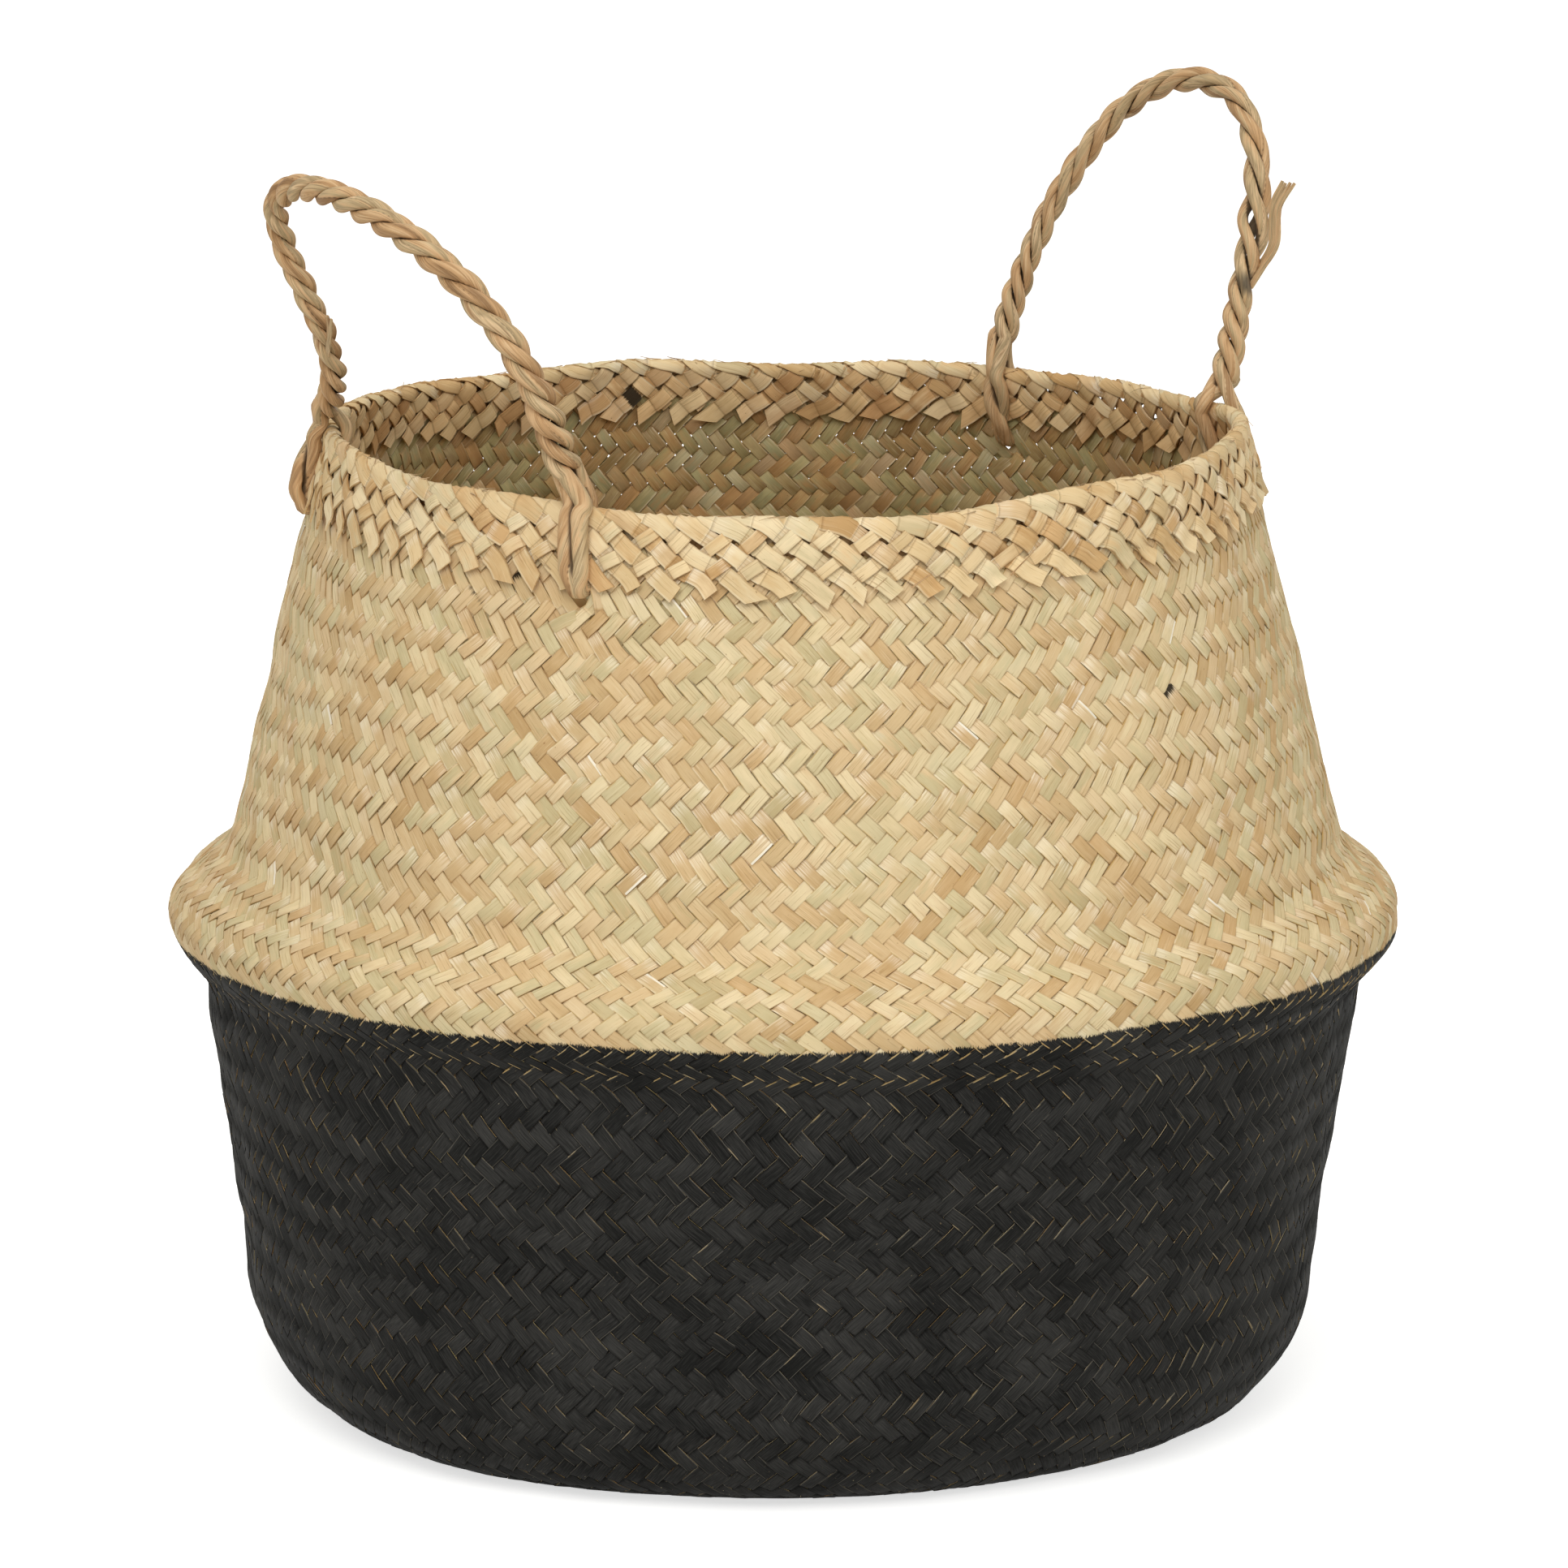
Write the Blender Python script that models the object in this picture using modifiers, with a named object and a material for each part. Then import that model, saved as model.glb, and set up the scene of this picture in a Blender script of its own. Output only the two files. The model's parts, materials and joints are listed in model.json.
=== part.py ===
"""Belly basket: a round plaited basket whose wall is folded out into a belly.

The body is turned about Z and stands on its base at Z = 0. Its rings are the base
mat and its turned-up corner, the painted lower wall, the tuck under the belly, the
shoulder of the fold, the upper wall, and the two hems that close the rim. Two rope
handles sit on the rim. Each handle is a grip that swings on its two feet, and at each
foot the rope opens into strands that go round the hem and through a hole in the wall.
"""

import math

import bmesh
import bpy
from mathutils import Matrix, Vector

MM = 0.001

# Woven body: outer face of the wall, from the floor up
BASE_RADIUS = 140 * MM
CORNER_REACH = 32 * MM
CORNER_HEIGHT = 45 * MM
RIDGE_RADIUS = 200 * MM
RIDGE_HEIGHT = 157 * MM
PAINT_BELOW_RIDGE = 4.5 * MM
TUCK_DEPTH = 14.5 * MM
TUCK_DROP = 23 * MM
SHOULDER_DEPTH = 20.7 * MM
SHOULDER_RISE = 29 * MM
BAND_RISE = 68 * MM
NECK_RADIUS = 150 * MM
NECK_DROP = 5 * MM
RIM_HEIGHT = 318 * MM
FOLD_FULLNESS_SHARE = 1.2

# Thicknesses, and the gap between pieces that touch
WALL = 3 * MM
HEM = 1.6 * MM
GAP = 0.3 * MM
HEM_OUTER_DEPTH = 27 * MM
HEM_INNER_DEPTH = 24 * MM
HEM_ROUNDING = 1.2 * MM
HEM_INNER_STEP = 0.8 * MM

# Rope
STRAND_RADIUS = 2.5 * MM
GRIP_RADIUS = 4.75 * MM
LOOSE_RADIUS = 2.2 * MM
LEG_BELOW_RIM = 1.5 * MM
END_STICKS_OUT = 1 * MM

# Right handle, seen along the rim from the middle of the basket
RIGHT_TURN = math.radians(0)
RIGHT_LEAN = math.radians(22)
RIGHT_HALF_CHORD = 54 * MM
RIGHT_HEIGHT = 98.6 * MM
TAIL_LENGTH = 27 * MM
TAIL_LEAN = math.radians(18)

# Left handle
LEFT_TURN = math.radians(175)
LEFT_LEAN = math.radians(25)
LEFT_HALF_CHORD = 72 * MM
LEFT_HEIGHT = 90.6 * MM
STUB_LENGTH = 10 * MM
STUB_LEAN = math.radians(24)

# Levels and radii of the wall that follow from these
CORNER_RADIUS = BASE_RADIUS + CORNER_REACH
PAINT_HEIGHT = RIDGE_HEIGHT - PAINT_BELOW_RIDGE
TUCK_RADIUS = RIDGE_RADIUS - TUCK_DEPTH
TUCK_HEIGHT = RIDGE_HEIGHT - TUCK_DROP
SHOULDER_RADIUS = RIDGE_RADIUS - SHOULDER_DEPTH
SHOULDER_HEIGHT = RIDGE_HEIGHT + SHOULDER_RISE
BAND_HEIGHT = RIDGE_HEIGHT + BAND_RISE
NECK_HEIGHT = RIM_HEIGHT - NECK_DROP

# Arches: along the chord as shares of the half chord, upwards as shares of the height
RIGHT_ARCH_SHARES = (
    (-1, 0), (-1, 0.12), (-1, 0.25), (-1, 0.38), (-0.97, 0.5), (-0.91, 0.61),
    (-0.81, 0.73), (-0.65, 0.85), (-0.41, 0.95), (-0.07, 1), (0.26, 0.97), (0.54, 0.86),
    (0.71, 0.74), (0.83, 0.61), (0.91, 0.5), (0.96, 0.38), (0.99, 0.25), (1, 0.12), (1, 0),
)
LEFT_ARCH_SHARES = (
    (-1, 0), (-0.84, 0.09), (-0.71, 0.2), (-0.63, 0.36), (-0.63, 0.55), (-0.63, 0.73),
    (-0.56, 0.88), (-0.38, 0.975), (-0.1, 1), (0.2, 0.96), (0.5, 0.87), (0.74, 0.75),
    (0.9, 0.62), (0.99, 0.48), (1.03, 0.32), (1.02, 0.16), (1, 0),
)

# Where on its limb a loose end leaves the rope, as a share of the handle's height
TAIL_HEIGHT_SHARE = 0.42
STUB_HEIGHT_SHARE = 0.38

# Fineness
AROUND = 64
CORNER_STEPS = 6
FOLD_STEPS = 6
BEND_STEPS = 4
ROPE_STEPS = 34
ROPE_SIDES_RESOLUTION = 2
END_SHARES = (0.45, 0.8, 0.97)


# Scene and materials

def empty_scene():
    for thing in list(bpy.data.objects):
        bpy.data.objects.remove(thing, do_unlink=True)


def new_collection(name):
    collection = bpy.data.collections.new(name)
    bpy.context.scene.collection.children.link(collection)
    return collection


def new_material(name, colour, roughness):
    material = bpy.data.materials.new(name)
    material.use_nodes = True
    shader = material.node_tree.nodes["Principled BSDF"]
    shader.inputs["Base Color"].default_value = (*colour, 1)
    shader.inputs["Roughness"].default_value = roughness
    shader.inputs["Metallic"].default_value = 0
    return material


# The wall's outer face as a radius for each height

def fold_share(way):
    """How much of the fold is left at a share of the way from ridge to foot."""
    return (1 + math.cos(math.pi * way ** FOLD_FULLNESS_SHARE)) / 2


def between(low, high, share):
    return low + (high - low) * share


def wall_radius(z):
    if z <= TUCK_HEIGHT:
        share = (z - CORNER_HEIGHT) / (TUCK_HEIGHT - CORNER_HEIGHT)
        return between(CORNER_RADIUS, TUCK_RADIUS, share)
    if z <= RIDGE_HEIGHT:
        way = (RIDGE_HEIGHT - z) / (RIDGE_HEIGHT - TUCK_HEIGHT)
        return between(TUCK_RADIUS, RIDGE_RADIUS, fold_share(way))
    if z <= SHOULDER_HEIGHT:
        way = (z - RIDGE_HEIGHT) / (SHOULDER_HEIGHT - RIDGE_HEIGHT)
        return between(SHOULDER_RADIUS, RIDGE_RADIUS, fold_share(way))
    share = (z - SHOULDER_HEIGHT) / (NECK_HEIGHT - SHOULDER_HEIGHT)
    return between(SHOULDER_RADIUS, NECK_RADIUS, share)


def wall_slope(z):
    """Change of radius for each unit of height."""
    return (wall_radius(z + GAP) - wall_radius(z - GAP)) / (2 * GAP)


def level_radius(z, depth):
    """Radius at height z of a face that lies depth outside the wall's outer face."""
    return wall_radius(z) + depth * math.hypot(1, wall_slope(z))


def inner_point(z):
    """The wall's inner face, straight behind its outer face at height z."""
    slope = wall_slope(z)
    length = math.hypot(1, slope)
    return (wall_radius(z) - WALL / length, z + WALL * slope / length)


# Turned pieces

def turn(name, outline, material, collection):
    """Turn a closed outline about Z. It runs down the outer side and up the inner."""
    mesh = bpy.data.meshes.new(name)
    edges = [(i, (i + 1) % len(outline)) for i in range(len(outline))]
    mesh.from_pydata([(r, 0, z) for r, z in outline], edges, [])
    piece = bpy.data.objects.new(name, mesh)
    collection.objects.link(piece)
    screw = piece.modifiers.new("turn", "SCREW")
    screw.axis = "Z"
    screw.steps = AROUND
    screw.render_steps = AROUND
    screw.use_merge_vertices = True
    screw.merge_threshold = GAP / 10
    screw.use_smooth_shade = True
    mesh.materials.append(material)
    return piece


def turned_disc(name, outline, material, collection):
    """Turn an outline that starts and ends on the axis."""
    piece = turn(name, outline, material, collection)
    mesh = piece.data
    mesh.clear_geometry()
    edges = [(i, i + 1) for i in range(len(outline) - 1)]
    mesh.from_pydata([(r, 0, z) for r, z in outline], edges, [])
    return piece


def wall_ring(name, bottom, top, steps, material, collection):
    """A ring of the wall between two heights, with level ends."""
    low = bottom + GAP / 2
    high = top - GAP / 2
    heights = [between(high, low, i / steps) for i in range(steps + 1)]
    outer = [(wall_radius(z), z) for z in heights]
    inner = [inner_point(z) for z in reversed(heights[1:-1])]
    ends = [(level_radius(low, -WALL), low), (level_radius(high, -WALL), high)]
    return turn(name, outer + ends[:1] + inner + ends[1:], material, collection)


def base_mat(material, collection):
    """Flat round mat that the basket stands on."""
    edge = BASE_RADIUS - GAP
    outline = [(0, WALL), (edge, WALL), (edge, 0), (0, 0)]
    return turned_disc("base_mat", outline, material, collection)


def base_corner(material, collection):
    """Ring that turns up from the flat mat into the wall."""
    turns = [math.pi / 2 * i / CORNER_STEPS for i in range(CORNER_STEPS + 1)]

    def corner(inset, angle):
        across = CORNER_RADIUS - BASE_RADIUS - inset
        up = CORNER_HEIGHT - inset
        r = BASE_RADIUS + across * math.sin(angle)
        z = CORNER_HEIGHT - up * math.cos(angle)
        return (r, min(z, CORNER_HEIGHT - GAP / 2))

    outer = [corner(0, angle) for angle in reversed(turns)]
    inner = [corner(WALL, angle) for angle in turns]
    return turn("base_corner", outer + inner, material, collection)


def hem_outer(material, collection):
    """Band outside the rim that also folds over the wall's top edge."""
    bottom = RIM_HEIGHT - HEM_OUTER_DEPTH
    wall_top = RIM_HEIGHT - HEM
    outside = GAP + HEM
    outline = [
        (level_radius(wall_top, -WALL), RIM_HEIGHT),
        (level_radius(RIM_HEIGHT, outside) - HEM_ROUNDING, RIM_HEIGHT),
        (level_radius(RIM_HEIGHT - HEM_ROUNDING, outside), RIM_HEIGHT - HEM_ROUNDING),
        (level_radius(bottom, outside), bottom),
        (level_radius(bottom, GAP), bottom),
        (level_radius(wall_top, GAP), wall_top),
        (level_radius(wall_top, -WALL), wall_top),
    ]
    return turn("hem_outer", outline, material, collection)


def hem_inner(material, collection):
    """Band inside the rim, a little lower than the fold."""
    bottom = RIM_HEIGHT - HEM_INNER_DEPTH
    top = RIM_HEIGHT - HEM_INNER_STEP
    near = -WALL - GAP
    far = near - HEM
    outline = [
        (level_radius(top, near), top),
        (level_radius(bottom, near), bottom),
        (level_radius(bottom, far), bottom),
        (level_radius(top - HEM_ROUNDING, far), top - HEM_ROUNDING),
        (level_radius(top, far) + HEM_ROUNDING / 2, top),
    ]
    return turn("hem_inner", outline, material, collection)


# Rope

def rope(name, points, radius, shares, material, collection):
    """A round rope along points, whose radius at each point is a share of radius."""
    curve = bpy.data.curves.new(name, "CURVE")
    curve.dimensions = "3D"
    curve.bevel_depth = radius
    curve.bevel_resolution = ROPE_SIDES_RESOLUTION
    curve.use_fill_caps = True
    spline = curve.splines.new("POLY")
    spline.points.add(len(points) - 1)
    for knot, point, share in zip(spline.points, points, shares):
        knot.co = (*point, 1)
        knot.radius = share
    curve.materials.append(material)
    piece = bpy.data.objects.new(name, curve)
    collection.objects.link(piece)
    return piece


def smooth_path(knots, count):
    """Points at equal steps of the parameter on a smooth curve through the knots."""
    last = len(knots) - 1
    path = []
    for i in range(count):
        at = last * i / (count - 1)
        k = min(int(at), last - 1)
        t = at - k
        p1 = knots[k]
        p2 = knots[k + 1]
        p0 = knots[k - 1] if k > 0 else p1 * 2 - p2
        p3 = knots[k + 2] if k + 2 <= last else p2 * 2 - p1
        a = (p1 * 3 - p0 - p2 * 3 + p3) * t ** 3
        b = (p0 * 2 - p1 * 5 + p2 * 4 - p3) * t ** 2
        c = (p2 - p0) * t
        path.append((a + b + c) / 2 + p1)
    return path


class Handle:
    """Places points of one handle: along its chord and up its leaning plane."""

    def __init__(self, name, turn_angle, lean, half_chord, height, arch_shares):
        self.name = name
        self.turn_angle = turn_angle
        self.half_chord = half_chord
        self.height = height
        self.arch_shares = arch_shares
        self.out = Vector((math.cos(turn_angle), math.sin(turn_angle), 0))
        self.along = Vector((-math.sin(turn_angle), math.cos(turn_angle), 0))
        self.up = Vector((0, 0, math.cos(lean))) + self.out * math.sin(lean)
        self.reach = math.sqrt(crest_radius() ** 2 - half_chord ** 2)
        self.foot_angle = math.asin(half_chord / crest_radius())
        self.middle = self.out * self.reach + Vector((0, 0, axis_height()))

    def at(self, along, up):
        return self.middle + self.along * along + self.up * up

    def arch(self):
        knots = [self.at(a * self.half_chord, h * self.height) for a, h in self.arch_shares]
        return smooth_path(knots, ROPE_STEPS)

    def limb_at(self, side, share):
        """Distance along the chord of the limb on one side, at a share of the height."""
        limb = [(a, h) for a, h in self.arch_shares if a * side > 0]
        limb.sort(key=lambda pair: pair[1])
        for (a0, h0), (a1, h1) in zip(limb, limb[1:]):
            if h0 <= share <= h1:
                return between(a0, a1, (share - h0) / (h1 - h0)) * self.half_chord
        return limb[0][0] * self.half_chord


def crest_radius():
    """Middle of the rim's thickness, where the handles stand."""
    return level_radius(NECK_HEIGHT, -WALL / 2)


def axis_height():
    """Height of the hinge axes: a rope's radius and the gap above the rim."""
    return RIM_HEIGHT + GAP + GRIP_RADIUS


def grip(handle, material, collection):
    """The arch of rope. Its ends are round and centred on the hinge axis."""
    path = handle.arch()
    start = (path[0] - path[1]).normalized() * GRIP_RADIUS
    end = (path[-1] - path[-2]).normalized() * GRIP_RADIUS
    points = [path[0] + start * s for s in reversed(END_SHARES)]
    points += path
    points += [path[-1] + end * s for s in END_SHARES]
    taper = [math.sqrt(1 - s * s) for s in END_SHARES]
    shares = taper[::-1] + [1] * len(path) + taper
    return rope(handle.name + "_grip", points, GRIP_RADIUS, shares, material, collection)


def loose_end(name, handle, side, way, share, length, lean, material, collection):
    """A short end beside a limb. It leaves the limb outwards or inwards along the chord."""
    off = (GRIP_RADIUS + GAP + LOOSE_RADIUS) * way
    root = Vector((handle.limb_at(side, share) + off, share * handle.height))
    step = Vector((math.sin(lean) * way, math.cos(lean))) * length
    marks = [root + step * part for part in (0, 0.5, 1)]
    points = [handle.at(mark.x, mark.y) for mark in marks]
    return rope(name, points, LOOSE_RADIUS, (0.9, 1, 1), material, collection)


def hole_height():
    """Height at which strands pass through the wall, just under the outer hem."""
    return RIM_HEIGHT - HEM_OUTER_DEPTH - GAP - STRAND_RADIUS


def strand_section():
    """Strand round the hem: outer leg, bends and inner leg as radius and height."""
    off = STRAND_RADIUS + GAP
    corner_z = RIM_HEIGHT - HEM_OUTER_DEPTH
    top_z = RIM_HEIGHT - LEG_BELOW_RIM
    lean = math.atan(-wall_slope(corner_z))
    outside = GAP + HEM
    inside = -WALL - GAP - HEM
    outer_corner = level_radius(corner_z, outside)
    inner_corner = level_radius(corner_z, inside)
    quarter = math.pi / 2
    outer_bend = [between(lean, -quarter, i / BEND_STEPS) for i in range(BEND_STEPS + 1)]
    inner_bend = [between(-quarter, lean - math.pi, i / BEND_STEPS) for i in range(BEND_STEPS + 1)]
    outer_leg = [(level_radius(top_z, outside + off), top_z)]
    outer_leg += [(outer_corner + off * math.cos(a), corner_z + off * math.sin(a)) for a in outer_bend]
    inner_leg = [(inner_corner + off * math.cos(a), corner_z + off * math.sin(a)) for a in inner_bend]
    inner_leg += [(level_radius(top_z, inside - off), top_z)]
    return outer_leg, inner_leg


def foot_point(angle, sideways, r, z):
    out = Vector((math.cos(angle), math.sin(angle), 0))
    along = Vector((-math.sin(angle), math.cos(angle), 0))
    return out * r + along * sideways + Vector((0, 0, z))


def foot_strands(handle, side, end_outside, material, collection):
    """One strand right round the hem, and beside it the rope's end, tucked in the hole."""
    angle = handle.turn_angle + side * handle.foot_angle
    beside = STRAND_RADIUS + GAP / 2
    outer_leg, inner_leg = strand_section()
    label = handle.name + ("_back" if side * handle.out.x > 0 else "_front")
    loop = [foot_point(angle, -beside, r, z) for r, z in outer_leg + inner_leg]
    rope(label + "_bight", loop, STRAND_RADIUS, [1] * len(loop), material, collection)
    z = hole_height()
    if end_outside:
        leg = outer_leg + [(level_radius(z, -WALL) - END_STICKS_OUT, z)]
    else:
        leg = inner_leg[::-1] + [(level_radius(z, 0) + END_STICKS_OUT, z)]
    tuck = [foot_point(angle, beside, r, z) for r, z in leg]
    rope(label + "_end", tuck, STRAND_RADIUS, [1] * len(tuck), material, collection)
    return angle


def cut_hole(wall, angle, number, cutters):
    """Slot pried open between the wall's strips, wide enough for two strands."""
    across = WALL * 4
    width = (2 * STRAND_RADIUS + GAP / 2 + GAP) * 2
    tall = (STRAND_RADIUS + GAP) * 2
    name = f"hole_cutter_{number}"
    mesh = bpy.data.meshes.new(name)
    shape = bmesh.new()
    bmesh.ops.create_cube(shape, size=1)
    bmesh.ops.transform(shape, matrix=Matrix.Diagonal((across, width, tall, 1)), verts=shape.verts)
    shape.to_mesh(mesh)
    shape.free()
    cutter = bpy.data.objects.new(name, mesh)
    cutter.location = foot_point(angle, 0, level_radius(hole_height(), -WALL / 2), hole_height())
    cutter.rotation_euler = (0, 0, angle)
    cutter.hide_render = True
    cutter.display_type = "WIRE"
    cutters.objects.link(cutter)
    cut = wall.modifiers.new(name, "BOOLEAN")
    cut.operation = "DIFFERENCE"
    cut.solver = "EXACT"
    cut.object = cutter


def build():
    empty_scene()
    basket = new_collection("belly_basket")
    cutters = new_collection("cutters")

    straw = new_material("plaited_sedge", (0.68, 0.53, 0.31), 0.7)
    shade = new_material("plaited_sedge_hem", (0.62, 0.47, 0.26), 0.72)
    paint = new_material("painted_sedge", (0.022, 0.020, 0.019), 0.6)
    cord = new_material("twisted_sedge_rope", (0.45, 0.30, 0.13), 0.8)

    wall_top = RIM_HEIGHT - HEM
    base_mat(paint, basket)
    base_corner(paint, basket)
    wall_ring("lower_wall", CORNER_HEIGHT, TUCK_HEIGHT, 2, paint, basket)
    wall_ring("belly_tuck", TUCK_HEIGHT, PAINT_HEIGHT, FOLD_STEPS, paint, basket)
    wall_ring("fold_shoulder", PAINT_HEIGHT, BAND_HEIGHT, FOLD_STEPS * 2, straw, basket)
    upper_wall = wall_ring("upper_wall", BAND_HEIGHT, wall_top - GAP / 2, 2, straw, basket)
    hem_outer(shade, basket)
    hem_inner(shade, basket)

    left = Handle("left", LEFT_TURN, LEFT_LEAN, LEFT_HALF_CHORD, LEFT_HEIGHT, LEFT_ARCH_SHARES)
    right = Handle("right", RIGHT_TURN, RIGHT_LEAN, RIGHT_HALF_CHORD, RIGHT_HEIGHT, RIGHT_ARCH_SHARES)
    number = 0
    for handle, side, end_outside in (
        (left, 1, True), (left, -1, True), (right, 1, False), (right, -1, False),
    ):
        number += 1
        angle = foot_strands(handle, side, end_outside, cord, basket)
        cut_hole(upper_wall, angle, number, cutters)
    grip(left, cord, basket)
    grip(right, cord, basket)
    loose_end("left_stub_end", left, -1, 1, STUB_HEIGHT_SHARE, STUB_LENGTH, STUB_LEAN, cord, basket)
    loose_end("right_frayed_tail", right, -1, -1, TAIL_HEIGHT_SHARE, TAIL_LENGTH, TAIL_LEAN, cord, basket)


build()
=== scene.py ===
# %% [markdown]
# A belly basket, plaited strip by strip
#
# The real basket is plaited from flat dried sedge. Its wall leans in towards the mouth
# and is pushed down into itself, so that a fold stands out all round like a belly. The
# part below the fold is brushed with black paint. Two handles of twisted sedge rope go
# over the rim and through the wall.
#
# A picture of a weave on a smooth shell would look flat at the silhouette and inside the
# mouth. Here every strip is a ribbon of its own that goes over and under the others, as
# in the real plaiting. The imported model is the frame: it gives the places and the bodies.

import itertools
import json
import math
import zlib
from collections import namedtuple

import bmesh
import bpy
import numpy as np
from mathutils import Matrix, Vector


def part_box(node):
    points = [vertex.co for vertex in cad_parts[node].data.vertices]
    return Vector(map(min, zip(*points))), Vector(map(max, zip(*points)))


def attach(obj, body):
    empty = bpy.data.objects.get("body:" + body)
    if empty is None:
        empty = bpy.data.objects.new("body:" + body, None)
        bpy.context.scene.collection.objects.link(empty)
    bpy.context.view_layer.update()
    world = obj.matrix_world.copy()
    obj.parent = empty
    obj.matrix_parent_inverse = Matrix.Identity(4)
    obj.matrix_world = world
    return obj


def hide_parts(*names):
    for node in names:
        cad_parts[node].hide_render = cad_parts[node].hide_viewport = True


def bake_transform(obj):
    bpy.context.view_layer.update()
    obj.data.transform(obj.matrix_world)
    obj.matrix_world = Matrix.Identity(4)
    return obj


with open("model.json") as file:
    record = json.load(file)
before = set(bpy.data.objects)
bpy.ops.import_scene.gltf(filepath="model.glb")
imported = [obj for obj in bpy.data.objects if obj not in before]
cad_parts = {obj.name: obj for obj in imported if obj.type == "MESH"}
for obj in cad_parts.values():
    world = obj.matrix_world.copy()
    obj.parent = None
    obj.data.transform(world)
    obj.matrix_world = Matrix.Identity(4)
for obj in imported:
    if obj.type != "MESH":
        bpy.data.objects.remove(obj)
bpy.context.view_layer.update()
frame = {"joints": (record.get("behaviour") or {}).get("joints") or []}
MM = 0.001

# %% [markdown]
# Sizes come first. Most are read from the frame, so that the ribbons lie where the solid
# rings lie. The few that a box can't tell are the driving sizes of the basket.

# %% Sizes of the wall, read from the frame
BASE_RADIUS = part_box("base_mat")[1].x
CORNER_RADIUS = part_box("base_corner")[1].x
CORNER_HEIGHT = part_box("lower_wall")[0].z
TUCK_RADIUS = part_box("lower_wall")[1].x
TUCK_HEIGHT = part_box("belly_tuck")[0].z
RIDGE_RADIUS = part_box("fold_shoulder")[1].x
PAINT_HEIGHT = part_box("fold_shoulder")[0].z
BAND_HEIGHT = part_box("upper_wall")[0].z
RIM_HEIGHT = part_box("hem_outer")[1].z
HEM_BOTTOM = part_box("hem_outer")[0].z

RIDGE_HEIGHT = PAINT_HEIGHT + 4.5 * MM
SHOULDER_RADIUS = RIDGE_RADIUS - 20.7 * MM
SHOULDER_HEIGHT = RIDGE_HEIGHT + 29 * MM
NECK_RADIUS = 150 * MM
NECK_HEIGHT = RIM_HEIGHT - 5 * MM
FOLD_FULLNESS = 1.2
print(f"belly {2000 * RIDGE_RADIUS:.0f} mm across, rim at {1000 * RIM_HEIGHT:.0f} mm")

# %% [markdown]
# Nothing hand-made is even. Each strip, strand and sliver draws from dice of its own,
# seeded by its name, so that a change to one leaves the others as they were. Waves that
# run round and up the wall push its strips about and dent its shape.

# %% Dice, waves and smooth steps
WAVE_HEIGHT_SHARE = 1.6


def dice(name):
    return np.random.default_rng(zlib.crc32(name.encode()))


class Waves:
    """A smooth uneven field over angle and height, mostly between -1 and 1."""

    def __init__(self, name, count, most_round, shortest):
        draw = dice(name)
        self.round = draw.integers(1, most_round + 1, count)
        self.up = 2 * math.pi / shortest * draw.uniform(-1, 1, count)
        self.shift = draw.uniform(0, 2 * math.pi, count)
        self.size = WAVE_HEIGHT_SHARE / math.sqrt(count)

    def at(self, angle, height):
        total = 0
        for turns, up, shift in zip(self.round, self.up, self.shift):
            total = total + np.cos(turns * angle + up * height + shift)
        return total * self.size


def ramp(value, low, high):
    """0 below low, 1 above high, and smooth between them."""
    share = np.clip((value - low) / (high - low), 0, 1)
    return share * share * (3 - 2 * share)


def turn_between(angle, other):
    """The signed turn from one angle to another, the short way round."""
    return np.angle(np.exp(1j * (angle - other)))


# %% [markdown]
# The section of the wall is one line: flat under the basket, round the corner, up to the
# fold, out and back in, and up to the rim. Distance along this line is what a strip
# measures as it climbs. A place on the wall is then an angle, a distance along the line
# and a depth behind the outer face.

# %% The wall's section
RING_START = BASE_RADIUS - 9 * MM
OUTLINE_STEP = 0.4 * MM
CORNER_STEPS = 120
SOFTENING = 9


def between(low, high, share):
    return low + (high - low) * share


def fold_share(way):
    """How far out the fold stands, from 1 on its ridge to 0 where it ends."""
    return (1 + np.cos(np.pi * np.clip(way, 0, 1) ** FOLD_FULLNESS)) / 2


def wall_radius(z):
    """Outer radius of the ideal wall at a height."""
    climb = (z - CORNER_HEIGHT) / (TUCK_HEIGHT - CORNER_HEIGHT)
    lower = between(CORNER_RADIUS, TUCK_RADIUS, climb)
    below = (RIDGE_HEIGHT - z) / (RIDGE_HEIGHT - TUCK_HEIGHT)
    tuck = between(TUCK_RADIUS, RIDGE_RADIUS, fold_share(below))
    rise = (z - RIDGE_HEIGHT) / (SHOULDER_HEIGHT - RIDGE_HEIGHT)
    shoulder = between(SHOULDER_RADIUS, RIDGE_RADIUS, fold_share(rise))
    lean = (z - SHOULDER_HEIGHT) / (NECK_HEIGHT - SHOULDER_HEIGHT)
    neck = between(SHOULDER_RADIUS, NECK_RADIUS, lean)
    levels = [z <= TUCK_HEIGHT, z <= RIDGE_HEIGHT, z <= SHOULDER_HEIGHT]
    return np.select(levels, [lower, tuck, shoulder], neck)


class Outline:
    """A section line with distance, radius, height and the direction that points out."""

    def __init__(self, radius, height):
        gap = np.hypot(np.diff(radius), np.diff(height))
        self.length = np.concatenate([[0], np.cumsum(gap)])
        self.radius = radius
        self.height = height
        rise = np.gradient(height, self.length)
        widen = np.gradient(radius, self.length)
        size = np.hypot(rise, widen)
        self.out_r = rise / size
        self.out_z = -widen / size

    def read(self, values, s):
        return np.interp(s, self.length, values)


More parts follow.
